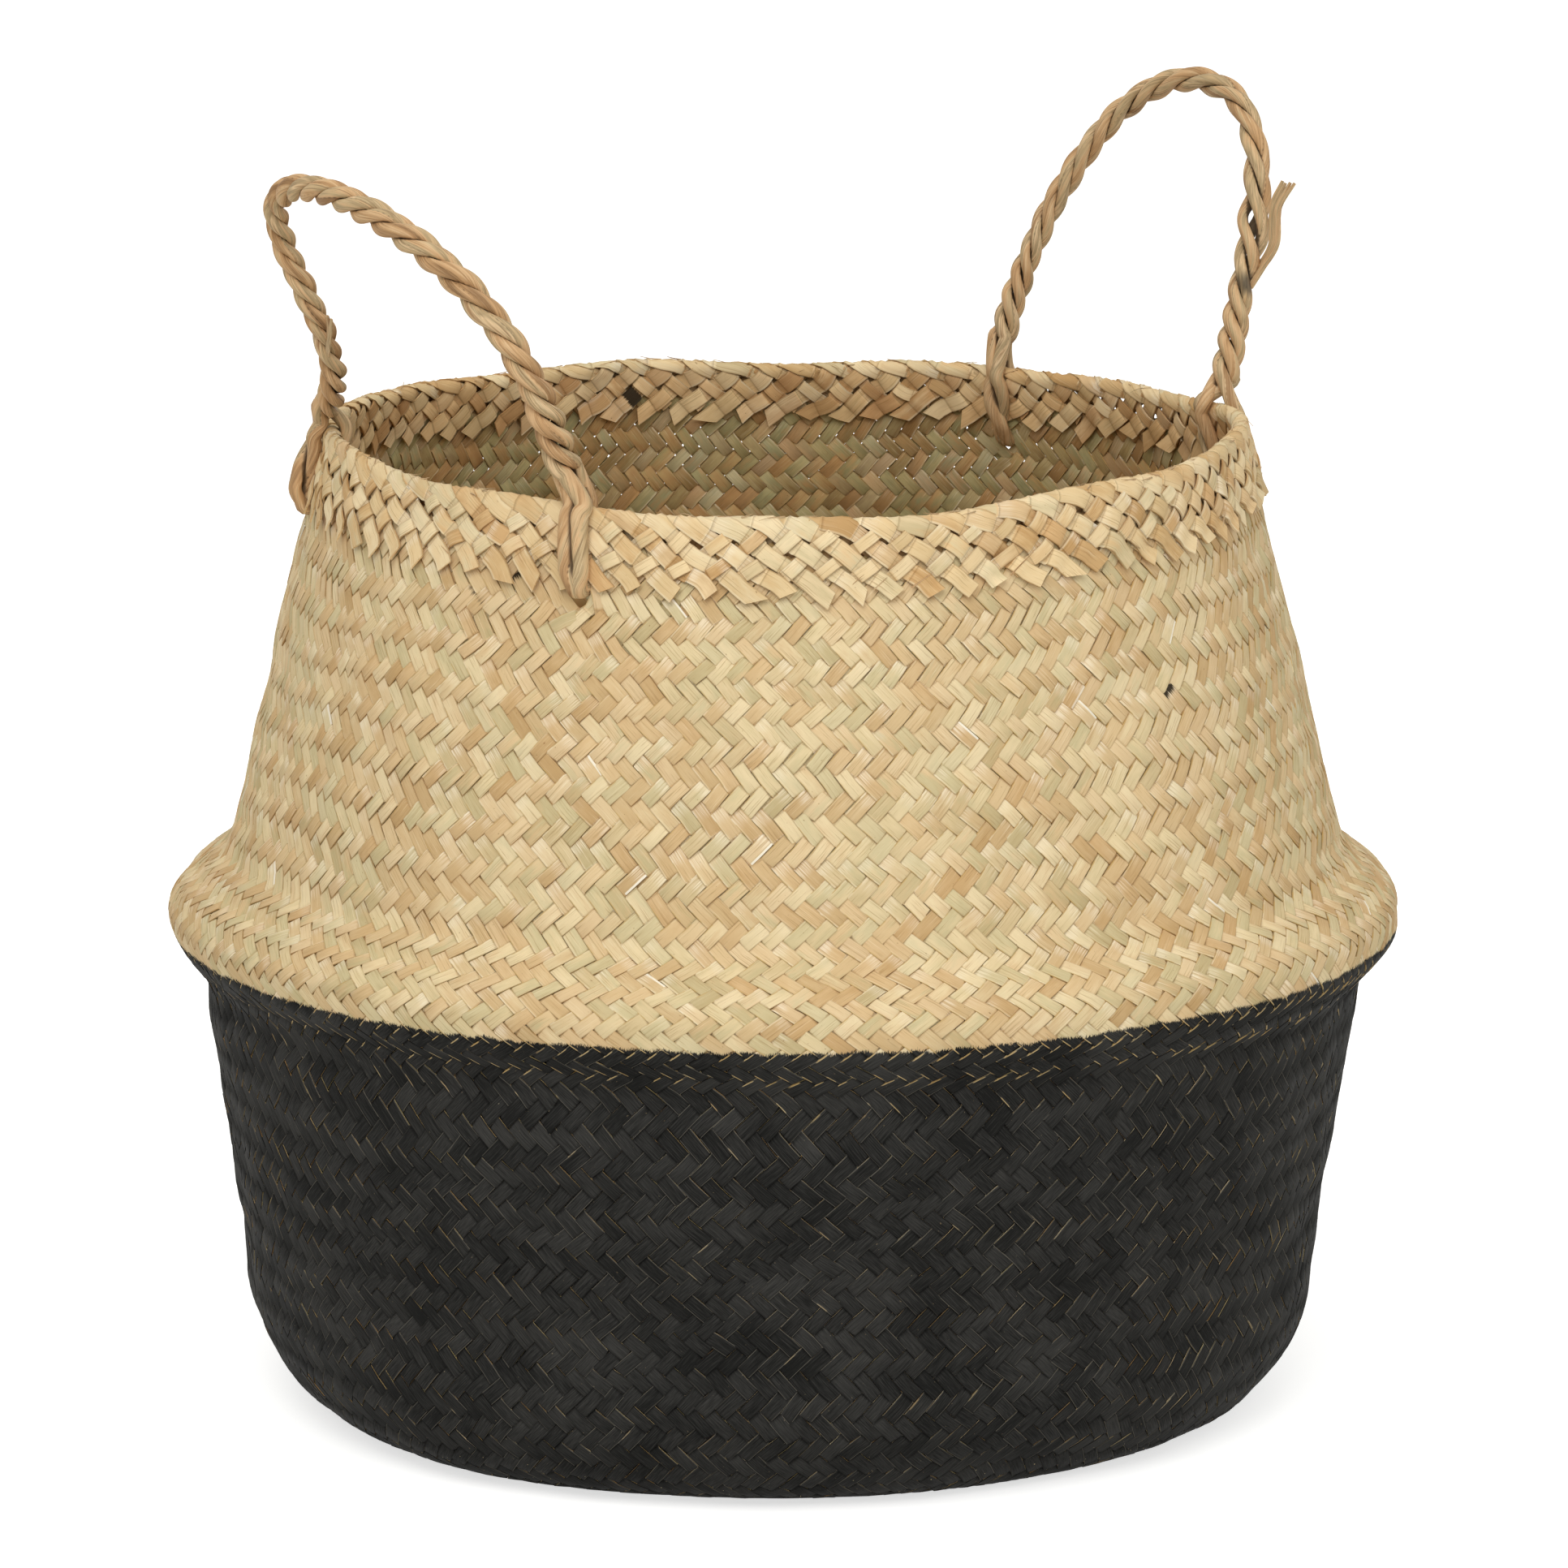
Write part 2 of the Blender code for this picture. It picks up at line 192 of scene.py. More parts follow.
def wall_outline():
    """The wall's section from the bottom's edge to the rim, with its bends softened."""
    flat_r = np.arange(RING_START, BASE_RADIUS, OUTLINE_STEP)
    turns = np.linspace(0, math.pi / 2, CORNER_STEPS)
    corner_r = BASE_RADIUS + (CORNER_RADIUS - BASE_RADIUS) * np.sin(turns)
    corner_z = CORNER_HEIGHT * (1 - np.cos(turns))
    z = np.arange(CORNER_HEIGHT + OUTLINE_STEP, RIM_HEIGHT - 2 * MM, OUTLINE_STEP)
    radius = np.concatenate([flat_r, corner_r, wall_radius(z)])
    height = np.concatenate([0 * flat_r, corner_z, z])
    reach = SOFTENING // 2
    soften = np.ones(SOFTENING) / SOFTENING
    radius[reach:-reach] = np.convolve(radius, soften, "valid")
    height[reach:-reach] = np.convolve(height, soften, "valid")
    return Outline(radius, height)


WALL_LINE = wall_outline()
print(f"the wall's section is {1000 * WALL_LINE.length[-1]:.0f} mm long")

# %% [markdown]
# The photographed basket isn't round and level. Its mouth is a little narrower from side
# to side and sags at the front and back. Its lower half sits slightly to the left, and its
# bottom edge is lumpy and lifted at the front right. These are small moves of the whole
# wall, so every strip, hem and rope end gets them from one function.

# %% Uneven shape of the whole basket
VIEW_TURN = math.radians(-39.5)
FRONT = VIEW_TURN - math.pi / 2
DENT = 0.9 * MM
LUMP = 0.3 * MM
RIM_LIFT = 1.2 * MM
RIM_SAG = 4.0 * MM
RIM_TILT = 1.1 * MM
RIM_WAVE = 0.7 * MM
RIM_NARROWER = 2.0 * MM
SIT_LEFT = 1.2 * MM
LOWER_FULLER = 2.2 * MM
LEFT_SLIMMER = 1.9 * MM
BELLY_LIFT = 3.0 * MM
BELLY_SLIMMER = 1.3 * MM
CORNER_DROP = 1.4 * MM
CORNER_FULLER = 4.5 * MM
CORNER_FULLER_TURN = math.radians(-38)
CORNER_FULLER_WIDTH = math.radians(20)
CORNER_LIFT = 4.4 * MM
CORNER_LIFT_TURN = math.radians(29)
CORNER_LIFT_WIDTH = math.radians(13)
CORNER_LUMP = 0.45 * MM
SEAT_LIFT = 0.32 * MM
# Heights between which a move of the wall comes in, or goes out again
GROWN = (4 * MM, 40 * MM)
LOWER_ENDS = (TUCK_HEIGHT - 15 * MM, PAINT_HEIGHT)
SIT_ENDS = (TUCK_HEIGHT - 15 * MM, RIDGE_HEIGHT - 5 * MM)
FLANK = (SHOULDER_HEIGHT - 15 * MM, SHOULDER_HEIGHT + 10 * MM)
FLANK_ENDS = (BAND_HEIGHT + 5 * MM, BAND_HEIGHT + 40 * MM)
BELLY = (TUCK_HEIGHT - 22 * MM, TUCK_HEIGHT + 4 * MM)
BELLY_ENDS = (RIDGE_HEIGHT, RIDGE_HEIGHT + 28 * MM)
CORNER = (0, 10 * MM)
CORNER_ENDS = (25 * MM, 80 * MM)
FULLER_ENDS = (4 * MM, 45 * MM)
SEAT_ENDS = (0, 5 * MM)
# Radii between which the bottom starts to follow its corner
CORNER_FROM = (110 * MM, 140 * MM)

dents = Waves("dents", 14, 9, 180 * MM)
lumps = Waves("lumps", 22, 40, 26 * MM)
corner_lumps = Waves("corner lumps", 12, 22, 1)
rim_waves = Waves("rim", 8, 11, 1)


def present(height, comes, goes):
    """1 between two zones of height, 0 before the first and after the second."""
    return ramp(height, *comes) * (1 - ramp(height, *goes))


def bell(angle, turn, width):
    """1 at a turn from the middle of the front, and less on both sides of it."""
    return np.exp(-(turn_between(angle, FRONT + turn) / width) ** 2)


def pushed_out(angle, radius, height):
    """How far the hand-made wall stands out from the ideal one."""
    grown = ramp(height, *GROWN)
    upper = ramp(height, BAND_HEIGHT, RIM_HEIGHT)
    out = (DENT * dents.at(angle, height) + LUMP * lumps.at(angle, height)) * grown
    out = out - RIM_NARROWER * upper * np.sin(angle - FRONT) ** 2
    out = out + LOWER_FULLER * grown * (1 - ramp(height, *LOWER_ENDS))
    flank = present(height, FLANK, FLANK_ENDS)
    out = out - LEFT_SLIMMER * flank * np.clip(np.sin(FRONT - angle), 0, 1) ** 2
    belly = present(height, BELLY, BELLY_ENDS)
    out = out - BELLY_SLIMMER * belly * ramp(height, TUCK_HEIGHT, RIDGE_HEIGHT)
    fuller = bell(angle, CORNER_FULLER_TURN, CORNER_FULLER_WIDTH) * (1 - ramp(height, *FULLER_ENDS))
    return out + CORNER_FULLER * fuller * ramp(radius, *CORNER_FROM)


def lifted(angle, height):
    """How far the hand-made wall stands above the ideal one."""
    towards = np.cos(angle - FRONT)
    sag = RIM_SAG * towards ** 2 + RIM_TILT * towards
    rim = RIM_LIFT * np.sin(angle - FRONT) ** 2 - sag + RIM_WAVE * rim_waves.at(angle, 0)
    up = ramp(height, BAND_HEIGHT, RIM_HEIGHT) * rim
    up = up + BELLY_LIFT * present(height, BELLY, BELLY_ENDS)
    raised = bell(angle, CORNER_LIFT_TURN, CORNER_LIFT_WIDTH)
    lump = CORNER_LUMP * np.clip(1 + corner_lumps.at(angle, 0), 0, 2)
    up = up + present(height, CORNER, CORNER_ENDS) * (CORNER_LIFT * raised - CORNER_DROP + lump)
    return up + SEAT_LIFT * (1 - ramp(height, *SEAT_ENDS))


def uneven(angle, radius, height):
    """World points of the hand-made basket for points of the ideal one."""
    reach = radius + pushed_out(angle, radius, height)
    left = SIT_LEFT * (1 - ramp(height, *SIT_ENDS))
    x = reach * np.cos(angle) - left * math.cos(VIEW_TURN)
    y = reach * np.sin(angle) - left * math.sin(VIEW_TURN)
    return np.stack([x, y, height + lifted(angle, height)], -1)


def place(line, angle, s, depth):
    """World points for angle, distance along the section line and depth behind it."""
    radius = line.read(line.radius, s) - depth * line.read(line.out_r, s)
    height = line.read(line.height, s) - depth * line.read(line.out_z, s)
    return uneven(angle, radius, height)


print(f"rim sags by {1000 * RIM_SAG:.0f} mm, belly lifted by {1000 * BELLY_LIFT:.0f} mm")

# %% [markdown]
# One builder makes every ribbon and strand. It gets rings of points, one ring for each
# station along the ribbon, and skins them into a closed solid. It also keeps what the
# materials need to know at each point: where the point is on its strip, how old or pale
# the strip is, and whether the point is on the basket's outer side. The map that it lays
# gives each ribbon a column of its own, so the finish can be baked without smearing.

# %% The builder of ribbons and strands
NOTES = ("fibre", "marks", "rest", "spot")
SHARP_EDGE = math.radians(48)
COLUMN_USED = 0.94
HEIGHT_USED = 0.976


class Bundle:
    """Collects closed ribbons, each a stack of rings, and makes one piece of them."""

    def __init__(self, name):
        self.name = name
        self.rings = []
        self.notes = []

    def add(self, points, notes):
        """points, and each of the four notes, are arrays of stations x ring x 3."""
        self.rings.append(points)
        self.notes.append(notes)

    def make(self, material):
        longest = max(self.step_lengths(points).sum() for points in self.rings)
        quads, quad_map, caps, cap_map = [], [], [], []
        start = 0
        for number, points in enumerate(self.rings):
            count, ring = points.shape[:2]
            quads.append(self.side_faces(count, ring) + start)
            quad_map.append(self.side_map(points, number, longest))
            caps.append(np.stack([np.arange(ring)[::-1], (count - 1) * ring + np.arange(ring)]) + start)
            cap_map.append(self.cap_map(ring, number))
            start += count * ring
        mesh = self.fill_mesh(quads, quad_map, caps, cap_map)
        for index, name in enumerate(NOTES):
            values = np.concatenate([note[index].reshape(-1, 3) for note in self.notes])
            layer = mesh.attributes.new(name, "FLOAT_VECTOR", "POINT")
            layer.data.foreach_set("vector", values.astype(np.float32).ravel())
        mesh.materials.append(material)
        piece = bpy.data.objects.new(self.name, mesh)
        bpy.context.scene.collection.objects.link(piece)
        return piece

    def step_lengths(self, points):
        return np.linalg.norm(np.diff(points.mean(1), axis=0), axis=1)

    def side_faces(self, count, ring):
        station = np.arange(count - 1)[:, None] * ring
        corner = np.arange(ring)[None, :]
        after = (corner + 1) % ring
        faces = [station + corner, station + after, station + ring + after, station + ring + corner]
        return np.stack(faces, -1).reshape(-1, 4)

    def side_map(self, points, number, longest):
        ring = points.shape[1]
        after = np.arange(1, ring + 1) % ring
        sides = np.linalg.norm(points[:, after] - points, axis=2).mean(0)
        across = np.concatenate([[0], np.cumsum(sides)]) / sides.sum()
        along = np.concatenate([[0], np.cumsum(self.step_lengths(points))]) / longest
        u = (number + (1 - COLUMN_USED) / 2 + COLUMN_USED * across) / len(self.rings)
        v = (1 - HEIGHT_USED) / 2 + HEIGHT_USED * along
        left, low = np.meshgrid(u[:-1], v[:-1])
        right, high = np.meshgrid(u[1:], v[1:])
        return np.stack([left, low, right, low, right, high, left, high], -1).reshape(-1, 8)

    def cap_map(self, ring, number):
        turn = 2 * np.pi * np.arange(ring) / ring
        u = (number + 0.5 + 0.4 * np.cos(turn)) / len(self.rings)
        v = (1 - HEIGHT_USED) / 4 * (1 + 0.8 * np.sin(turn))
        low = np.stack([u, v], -1)[::-1]
        high = np.stack([u, 1 - v], -1)
        return np.stack([low, high])

    def fill_mesh(self, quads, quad_map, caps, cap_map):
        quads = np.concatenate(quads)
        cap_sizes = np.concatenate([[cap.shape[1]] * 2 for cap in caps])
        points = np.concatenate([ring.reshape(-1, 3) for ring in self.rings])
        corners = np.concatenate([quads.ravel()] + [cap.ravel() for cap in caps])
        starts = np.arange(len(quads)) * 4
        cap_starts = quads.size + np.concatenate([[0], np.cumsum(cap_sizes)[:-1]])
        mesh = bpy.data.meshes.new(self.name)
        mesh.vertices.add(len(points))
        mesh.vertices.foreach_set("co", points.astype(np.float32).ravel())
        mesh.loops.add(len(corners))
        mesh.loops.foreach_set("vertex_index", corners.astype(np.int32))
        mesh.polygons.add(len(quads) + len(cap_sizes))
        mesh.polygons.foreach_set("loop_start", np.concatenate([starts, cap_starts]).astype(np.int32))
        mesh.update(calc_edges=True)
        flat = np.concatenate([part.ravel() for part in quad_map + cap_map])
        mesh.uv_layers.new(name="OFBake").data.foreach_set("uv", flat.astype(np.float32))
        mesh.shade_smooth()
        mesh.set_sharp_from_angle(angle=SHARP_EDGE)
        return mesh


# %% [markdown]
# Colour and nodes. Colours are written as the hex values that a screen shows and turned
# to linear light by one function. One function adds any node. The four after it are
# steps that come back often: reading what a ribbon noted, drawing grain of a real size,
# laying one colour over another, and stepping through a row of tones.

# %% Colour and node helpers
def linear(code):
    """An sRGB hex colour as linear red, green, blue and alpha."""
    parts = [int(code[i:i + 2], 16) / 255 for i in (1, 3, 5)]
    return tuple(((c + 0.055) / 1.055) ** 2.4 if c > 0.04045 else c / 12.92 for c in parts) + (1,)


def add(tree, kind, inputs=None, output=0, **settings):
    """Adds a node with its settings, fills its inputs with values or links, returns an output."""
    node = tree.nodes.new("ShaderNode" + kind)
    for name, value in settings.items():
        setattr(node, name, value)
    for key, value in (inputs or {}).items():
        if isinstance(value, bpy.types.NodeSocket):
            tree.links.new(value, node.inputs[key])
        else:
            node.inputs[key].default_value = value
    return node.outputs[output]


def read_note(tree, name):
    """A note of the ribbons as a vector and as its three parts."""
    vector = add(tree, "Attribute", output="Vector", attribute_name=name)
    parts = add(tree, "SeparateXYZ", {0: vector}).node.outputs
    return vector, parts[0], parts[1], parts[2]


def grain(tree, where, sizes, detail=3.0, roughness=0.55):
    """Noise whose grains have real sizes along the three axes of where."""
    scale = tuple(1 / size for size in sizes)
    stretched = add(tree, "VectorMath", {0: where, 1: scale}, operation="MULTIPLY")
    inputs = {"Vector": stretched, "Scale": 1.0, "Detail": detail, "Roughness": roughness}
    return add(tree, "TexNoise", inputs)


def lay_over(tree, under, colour, mask, strength=1.0):
    """Lays a colour over another one where the mask is 1, at the given strength."""
    share = add(tree, "Math", {0: mask, 1: strength}, operation="MULTIPLY", use_clamp=True)
    inputs = {0: share, 6: under, 7: colour}
    return add(tree, "Mix", inputs, output=2, data_type="RGBA")


def palette(tree, value, codes):
    """Even steps through a row of tones."""
    ramp_out = add(tree, "ValToRGB", {0: value})
    stops = ramp_out.node.color_ramp.elements
    while len(stops) < len(codes):
        stops.new(0.5)
    for i, code in enumerate(codes):
        stops[i].position = i / (len(codes) - 1)
        stops[i].color = linear(code)
    return ramp_out


# %% [markdown]
# The sedge itself. A dried sedge leaf is a plant fibre with a faint waxy shine, so it is
# a plain dielectric of IOR 1.5 and high roughness. It goes from straw to pinkish tan and
# to a grey green where it dried early, and each strip keeps its own tone. Fibres are 0.3
# to 0.5 mm apart and run for centimetres, with a darker vein here and there. A painted
# highlight runs along one edge of some floats, and painted shade darkens the rounded
# edges. A painted highlight also lies where a strip bends down under the next one, where
# the waxy skin would shine, and painted shade lies where it dives.

# %% Grain and colours of raw sedge
FIBRE = (0.40 * MM, 16 * MM, 1)
CLOUD = (3 * MM, 10 * MM, 1)
SPECK = (0.9 * MM, 1.5 * MM, 1)
STRAW = (
    "#CDAA7A", "#D6B688", "#DBBD8F", "#DFC498", "#E8D3A8", "#DFCB9F", "#D2C398", "#CCBB8F",
    "#DDC194",
)
# Tones of the strips' inner faces: browner and greener on their back side, and darker as painted shade
# inside the basket
INNER_STRAW_SHADED = (
    "#B08A5C", "#C49865", "#CBA873", "#B0A676", "#C4B481", "#A6A074", "#C09A68", "#A88D60",
    "#BCA674",
)
HEM_STRAW = (
    "#CAA26F", "#DFBD8B", "#EBD1A3", "#E6C999", "#F0DAB0", "#DDCBA1", "#E4C392", "#D6AF7D",
)
INNER_HEM = ("#CB9E6D", "#E0B681", "#F2CD98", "#E6C693", "#F8DBA9", "#D3A774")
DARKER_FLOAT = "#A98A59"
LIGHTER_FLOAT = "#F1E0BC"
VEIN = "#99723F"
PALE_FIBRE = "#F7E7C4"
BROWN_SPECK = "#8A6034"
# The next four are painted light: shade on the rounded edges, a highlight on one edge, a highlight where a
# strip bends, and shade where it dives
ROUNDED_EDGE_SHADE = "#8A6536"
EDGE_HIGHLIGHT = "#F4E4C0"
BEND_HIGHLIGHT = "#FBF0DA"
DIPPING_END_SHADE = "#7A5427"
PITH = "#F5ECD8"
BURNT = "#1B1713"
print(len(STRAW), "tones outside,", len(INNER_STRAW_SHADED), "inside,", len(HEM_STRAW), "on the hem")

# %% [markdown]
# The colour is laid on in thin steps: the leaf's own tone and fibres, then painted shade
# and highlights on its edges and bends, and at last tears and burns. Each step
# takes the colour that the one before it returned.

# %% Raw sedge: the strip's own tone and the marks along its fibres
def own_tone(tree, fibre, tone, inside, codes, inner_codes):
    """A strip's own colour, slightly clouded, from one row outside and another inside."""
    clouds = grain(tree, fibre, CLOUD, 2.0)
    shift = add(tree, "MapRange", {0: clouds, 1: 0.3, 2: 0.7, 3: -0.10, 4: 0.10})
    shade = add(tree, "Math", {0: tone, 1: shift}, operation="ADD", use_clamp=True)
    outer = palette(tree, shade, codes)
    inner = palette(tree, shade, inner_codes)
    return add(tree, "Mix", {0: inside, 6: outer, 7: inner}, output=2, data_type="RGBA")


def fibre_marks(tree, colour, fibre, streaks, float_tone):
    """Darker and lighter floats, dark veins, pale fibres and a few brown specks."""
    darker = add(tree, "MapRange", {0: float_tone, 1: 0.45, 2: 0.0})
    colour = lay_over(tree, colour, linear(DARKER_FLOAT), darker, 0.30)
    lighter = add(tree, "MapRange", {0: float_tone, 1: 0.6, 2: 1.0})
    colour = lay_over(tree, colour, linear(LIGHTER_FLOAT), lighter, 0.30)
    veins = add(tree, "MapRange", {0: streaks, 1: 0.55, 2: 0.66}, interpolation_type="SMOOTHSTEP")
    colour = lay_over(tree, colour, linear(VEIN), veins, 0.42)
    glow = add(tree, "MapRange", {0: streaks, 1: 0.44, 2: 0.28}, interpolation_type="SMOOTHSTEP")
    colour = lay_over(tree, colour, linear(PALE_FIBRE), glow, 0.36)
    specks = grain(tree, fibre, SPECK, 1.0)
    specks = add(tree, "MapRange", {0: specks, 1: 0.76, 2: 0.80})
    return lay_over(tree, colour, linear(BROWN_SPECK), specks, 0.6)


# %% Raw sedge: painted shade and highlights on edges and bends, and damage
def edge_shade_and_highlight(tree, colour, edge, pale, shade_strength):
    """Painted shade on both rounded edges, and a painted highlight along one edge of some floats."""
    side = add(tree, "Math", {0: edge}, operation="ABSOLUTE")
    # Painted shade along both rounded edges of a strip
    rim = add(tree, "MapRange", {0: side, 1: 0.84, 2: 0.98}, interpolation_type="SMOOTHSTEP")
    colour = lay_over(tree, colour, linear(ROUNDED_EDGE_SHADE), rim, shade_strength)
    # Painted highlight along one edge, on some floats
    edge_highlight = add(tree, "MapRange", {0: edge, 1: -0.72, 2: -0.88}, interpolation_type="SMOOTHSTEP")
    often = add(tree, "MapRange", {0: pale, 1: 0.3, 2: 0.8})
    edge_highlight = add(tree, "Math", {0: edge_highlight, 1: often}, operation="MULTIPLY")
    return lay_over(tree, colour, linear(EDGE_HIGHLIGHT), edge_highlight, 0.5)


def bend_highlight_and_shade(tree, colour, streaks, end, pale, dull, shade_strength):
    """Painted highlight where a strip bends down, and painted shade where it dives under the next."""
    # Painted highlight near the upper end of some floats, streaked along the fibres, weaker inside
    bent = add(tree, "MapRange", {0: end, 1: -0.1, 2: 0.6}, interpolation_type="SMOOTHSTEP")
    sheen_chance = add(tree, "MapRange", {0: pale, 1: 0.60, 2: 0.98, 3: 0.0, 4: 0.55})
    sheen_chance = add(tree, "Math", {0: sheen_chance, 1: dull}, operation="MULTIPLY")
    bend_sheen = add(tree, "MapRange", {0: streaks, 1: 0.40, 2: 0.56, 3: 1.0, 4: 0.12})
    bend_sheen = add(tree, "Math", {0: bend_sheen, 1: bent}, operation="MULTIPLY")
    bend_sheen = add(tree, "Math", {0: bend_sheen, 1: sheen_chance}, operation="MULTIPLY")
    colour = lay_over(tree, colour, linear(BEND_HIGHLIGHT), bend_sheen)
    # Painted shade at both ends of a float, where it dives
    reach = add(tree, "Math", {0: end}, operation="ABSOLUTE")
    dive_shade = add(tree, "MapRange", {0: reach, 1: 0.86, 2: 1.0})
    return lay_over(tree, colour, linear(DIPPING_END_SHADE), dive_shade, shade_strength)


def damage(tree, colour, streaks, edge, pale, dull, scorch):
    """A few floats torn to the white pith along one edge, and burns with ragged edges."""
    torn = add(tree, "MapRange", {0: pale, 1: 0.991, 2: 0.992})
    torn = add(tree, "Math", {0: torn, 1: dull}, operation="MULTIPLY")
    gash = add(tree, "MapRange", {0: edge, 1: 0.66, 2: 0.74})
    torn = add(tree, "Math", {0: torn, 1: gash}, operation="MULTIPLY")
    colour = lay_over(tree, colour, linear(PITH), torn)
    ragged = add(tree, "MapRange", {0: streaks, 3: -0.5, 4: 0.5})
    burnt = add(tree, "Math", {0: scorch, 1: ragged}, operation="ADD")
    burnt = add(tree, "MapRange", {0: burnt, 1: 0.42, 2: 0.66})
    return lay_over(tree, colour, linear(BURNT), burnt, 0.95)


def raw_sedge(tree, codes, inner_codes, shade_strength):
    """Colour of unpainted sedge, its streaks, and how far a place is inside the basket."""
    fibre = read_note(tree, "fibre")[0]
    _, tone, float_tone, scorch = read_note(tree, "marks")
    outward = read_note(tree, "rest")[3]
    _, edge, end, pale = read_note(tree, "spot")
    streaks = grain(tree, fibre, FIBRE, 4.0, 0.62)
    inside = add(tree, "MapRange", {0: outward, 1: 0.65, 2: 0.35}, interpolation_type="SMOOTHSTEP")
    dull = add(tree, "MapRange", {0: inside, 3: 1.0, 4: 0.2})
    colour = own_tone(tree, fibre, tone, inside, codes, inner_codes)
    colour = fibre_marks(tree, colour, fibre, streaks, float_tone)
    colour = edge_shade_and_highlight(tree, colour, edge, pale, shade_strength)
    colour = bend_highlight_and_shade(tree, colour, streaks, end, pale, dull, shade_strength)
    colour = damage(tree, colour, streaks, edge, pale, dull, scorch)
    return colour, streaks, inside


# %% [markdown]
# A finish is a function that builds the nodes of a colour, a roughness and the streaks
# that raise the surface a little. One function turns any finish into a material. Both
# the wax of the leaf and the paint are nearly matt, so little light is mirrored.

# %% From a finish to a material
SEDGE_IOR = 1.5
# How much of the usual mirrored light is left
WAXY = 0.04
MATT = 0.05
# How dark the painted shade on the rounded edges and dipping ends of the strips is
WALL_EDGE_SHADE = 0.28
HEM_EDGE_SHADE = 0.40


def finish_sedge(name, build, shine):
    """A sedge material whose colour, roughness and streaks come from a function."""
    material = bpy.data.materials.new(name)
    material.use_nodes = True
    tree = material.node_tree
    shader = tree.nodes["Principled BSDF"]
    colour, rough, streaks = build(tree)
    tree.links.new(colour, shader.inputs["Base Color"])
    tree.links.new(rough, shader.inputs["Roughness"])
    shader.inputs["IOR"].default_value = SEDGE_IOR
    shader.inputs["Specular IOR Level"].default_value = shine
    bump = add(tree, "Bump", {"Strength": 0.5, "Distance": 0.15 * MM, "Height": streaks})
    tree.links.new(bump, shader.inputs["Normal"])
    return material


def raw_finish(codes, inner_codes, shade_strength):
    """The finish of unpainted sedge in given tones."""

    def build(tree):
        colour, streaks, inside = raw_sedge(tree, codes, inner_codes, shade_strength)
        rough = add(tree, "MapRange", {0: streaks, 3: 0.56, 4: 0.74})
        return colour, rough, streaks

    return build


# %% [markdown]
# The paint. It is a thin matt black, brushed on the outside once the basket was plaited,
# so its upper edge is furry with brush marks. It missed the left edge of many strips,
# where they lay tight together and were pulled apart later: thin raw lines show there,
# most of all in the first rows under the paint's edge. Lower down it is worn grey on
# the fibres' backs, and painted sheen makes some floats and broad patches a lighter grey.
# Painted shade darkens the creases between floats. A few raw flecks show near the floor.

# %% Colours and reach of the paint
BLACK = "#1D1D1C"
# Grey of worn fibre backs and of painted sheen
BLACK_WORN_AND_SHEEN = "#42413F"
# Painted shade in the creases between floats
BLACK_CREASE_SHADE = "#0C0C0B"
BLACK_RUBBED = "#8C877C"
RAW_LINE = "#C6A567"
BRISTLE = (0.35 * MM, 1.5 * MM, 1)
BRUSH = (7 * MM, 30 * MM, 1)
# Size of the broad patches of painted sheen
SHEEN_PATCHES = (50 * MM, 34 * MM, 1)
WORN = (0.3 * MM, 7 * MM, 1)
FLECK = (0.8 * MM, 1.4 * MM, 1)
# Luck differs from float to float: the first two notes of "marks" are its place
LUCK = (0.021, 0.017, 1)
BRISTLE_REACH = 4.2 * MM
BRUSH_REACH = 3.4 * MM
PAINT_EDGE = 0.25 * MM
PAINT_LINE = PAINT_HEIGHT + 3.7 * MM
PAINT_SLANT = 1.5 * MM
RAW_LINE_DEEP = 27 * MM
# Turns the notes of "rest" to metres: angle times the wall's radius, and height
WALL_METRES = (0.195, 1, 0)
print(f"paint up to {1000 * PAINT_LINE:.0f} mm, raw lines {1000 * RAW_LINE_DEEP:.0f} mm below that")

# %% [markdown]
# Where the paint lies is a mask made of others: below the furry edge, but not on the raw
# lines, not on the flecks and not inside the basket. The paint's colour comes after it,
# with its painted sheen and shade. The same finish goes on the raw strips, because the
# paint's edge runs over them.

# %% Painted sedge: where the paint lies
def painted_below(tree, wall, angle, height):
    """1 below the paint's upper edge, which the brush left furry and slanting."""
    bristles = grain(tree, wall, BRISTLE, 3.0, 0.7)
    bristles = add(tree, "MapRange", {0: bristles, 3: -BRISTLE_REACH / 2, 4: BRISTLE_REACH / 2})
    strokes = grain(tree, wall, BRUSH, 2.0)
    strokes = add(tree, "MapRange", {0: strokes, 3: -BRUSH_REACH / 2, 4: BRUSH_REACH / 2})
    level = add(tree, "Math", {0: height, 1: bristles}, operation="ADD")
    level = add(tree, "Math", {0: level, 1: strokes}, operation="ADD")
    turn = add(tree, "Math", {0: angle, 1: FRONT}, operation="SUBTRACT")
    sideways = add(tree, "Math", {0: turn}, operation="SINE")
    level = add(tree, "Math", {0: sideways, 1: -PAINT_SLANT, 2: level}, operation="MULTIPLY_ADD")
    return add(tree, "MapRange", {0: level, 1: PAINT_LINE + PAINT_EDGE, 2: PAINT_LINE - PAINT_EDGE})


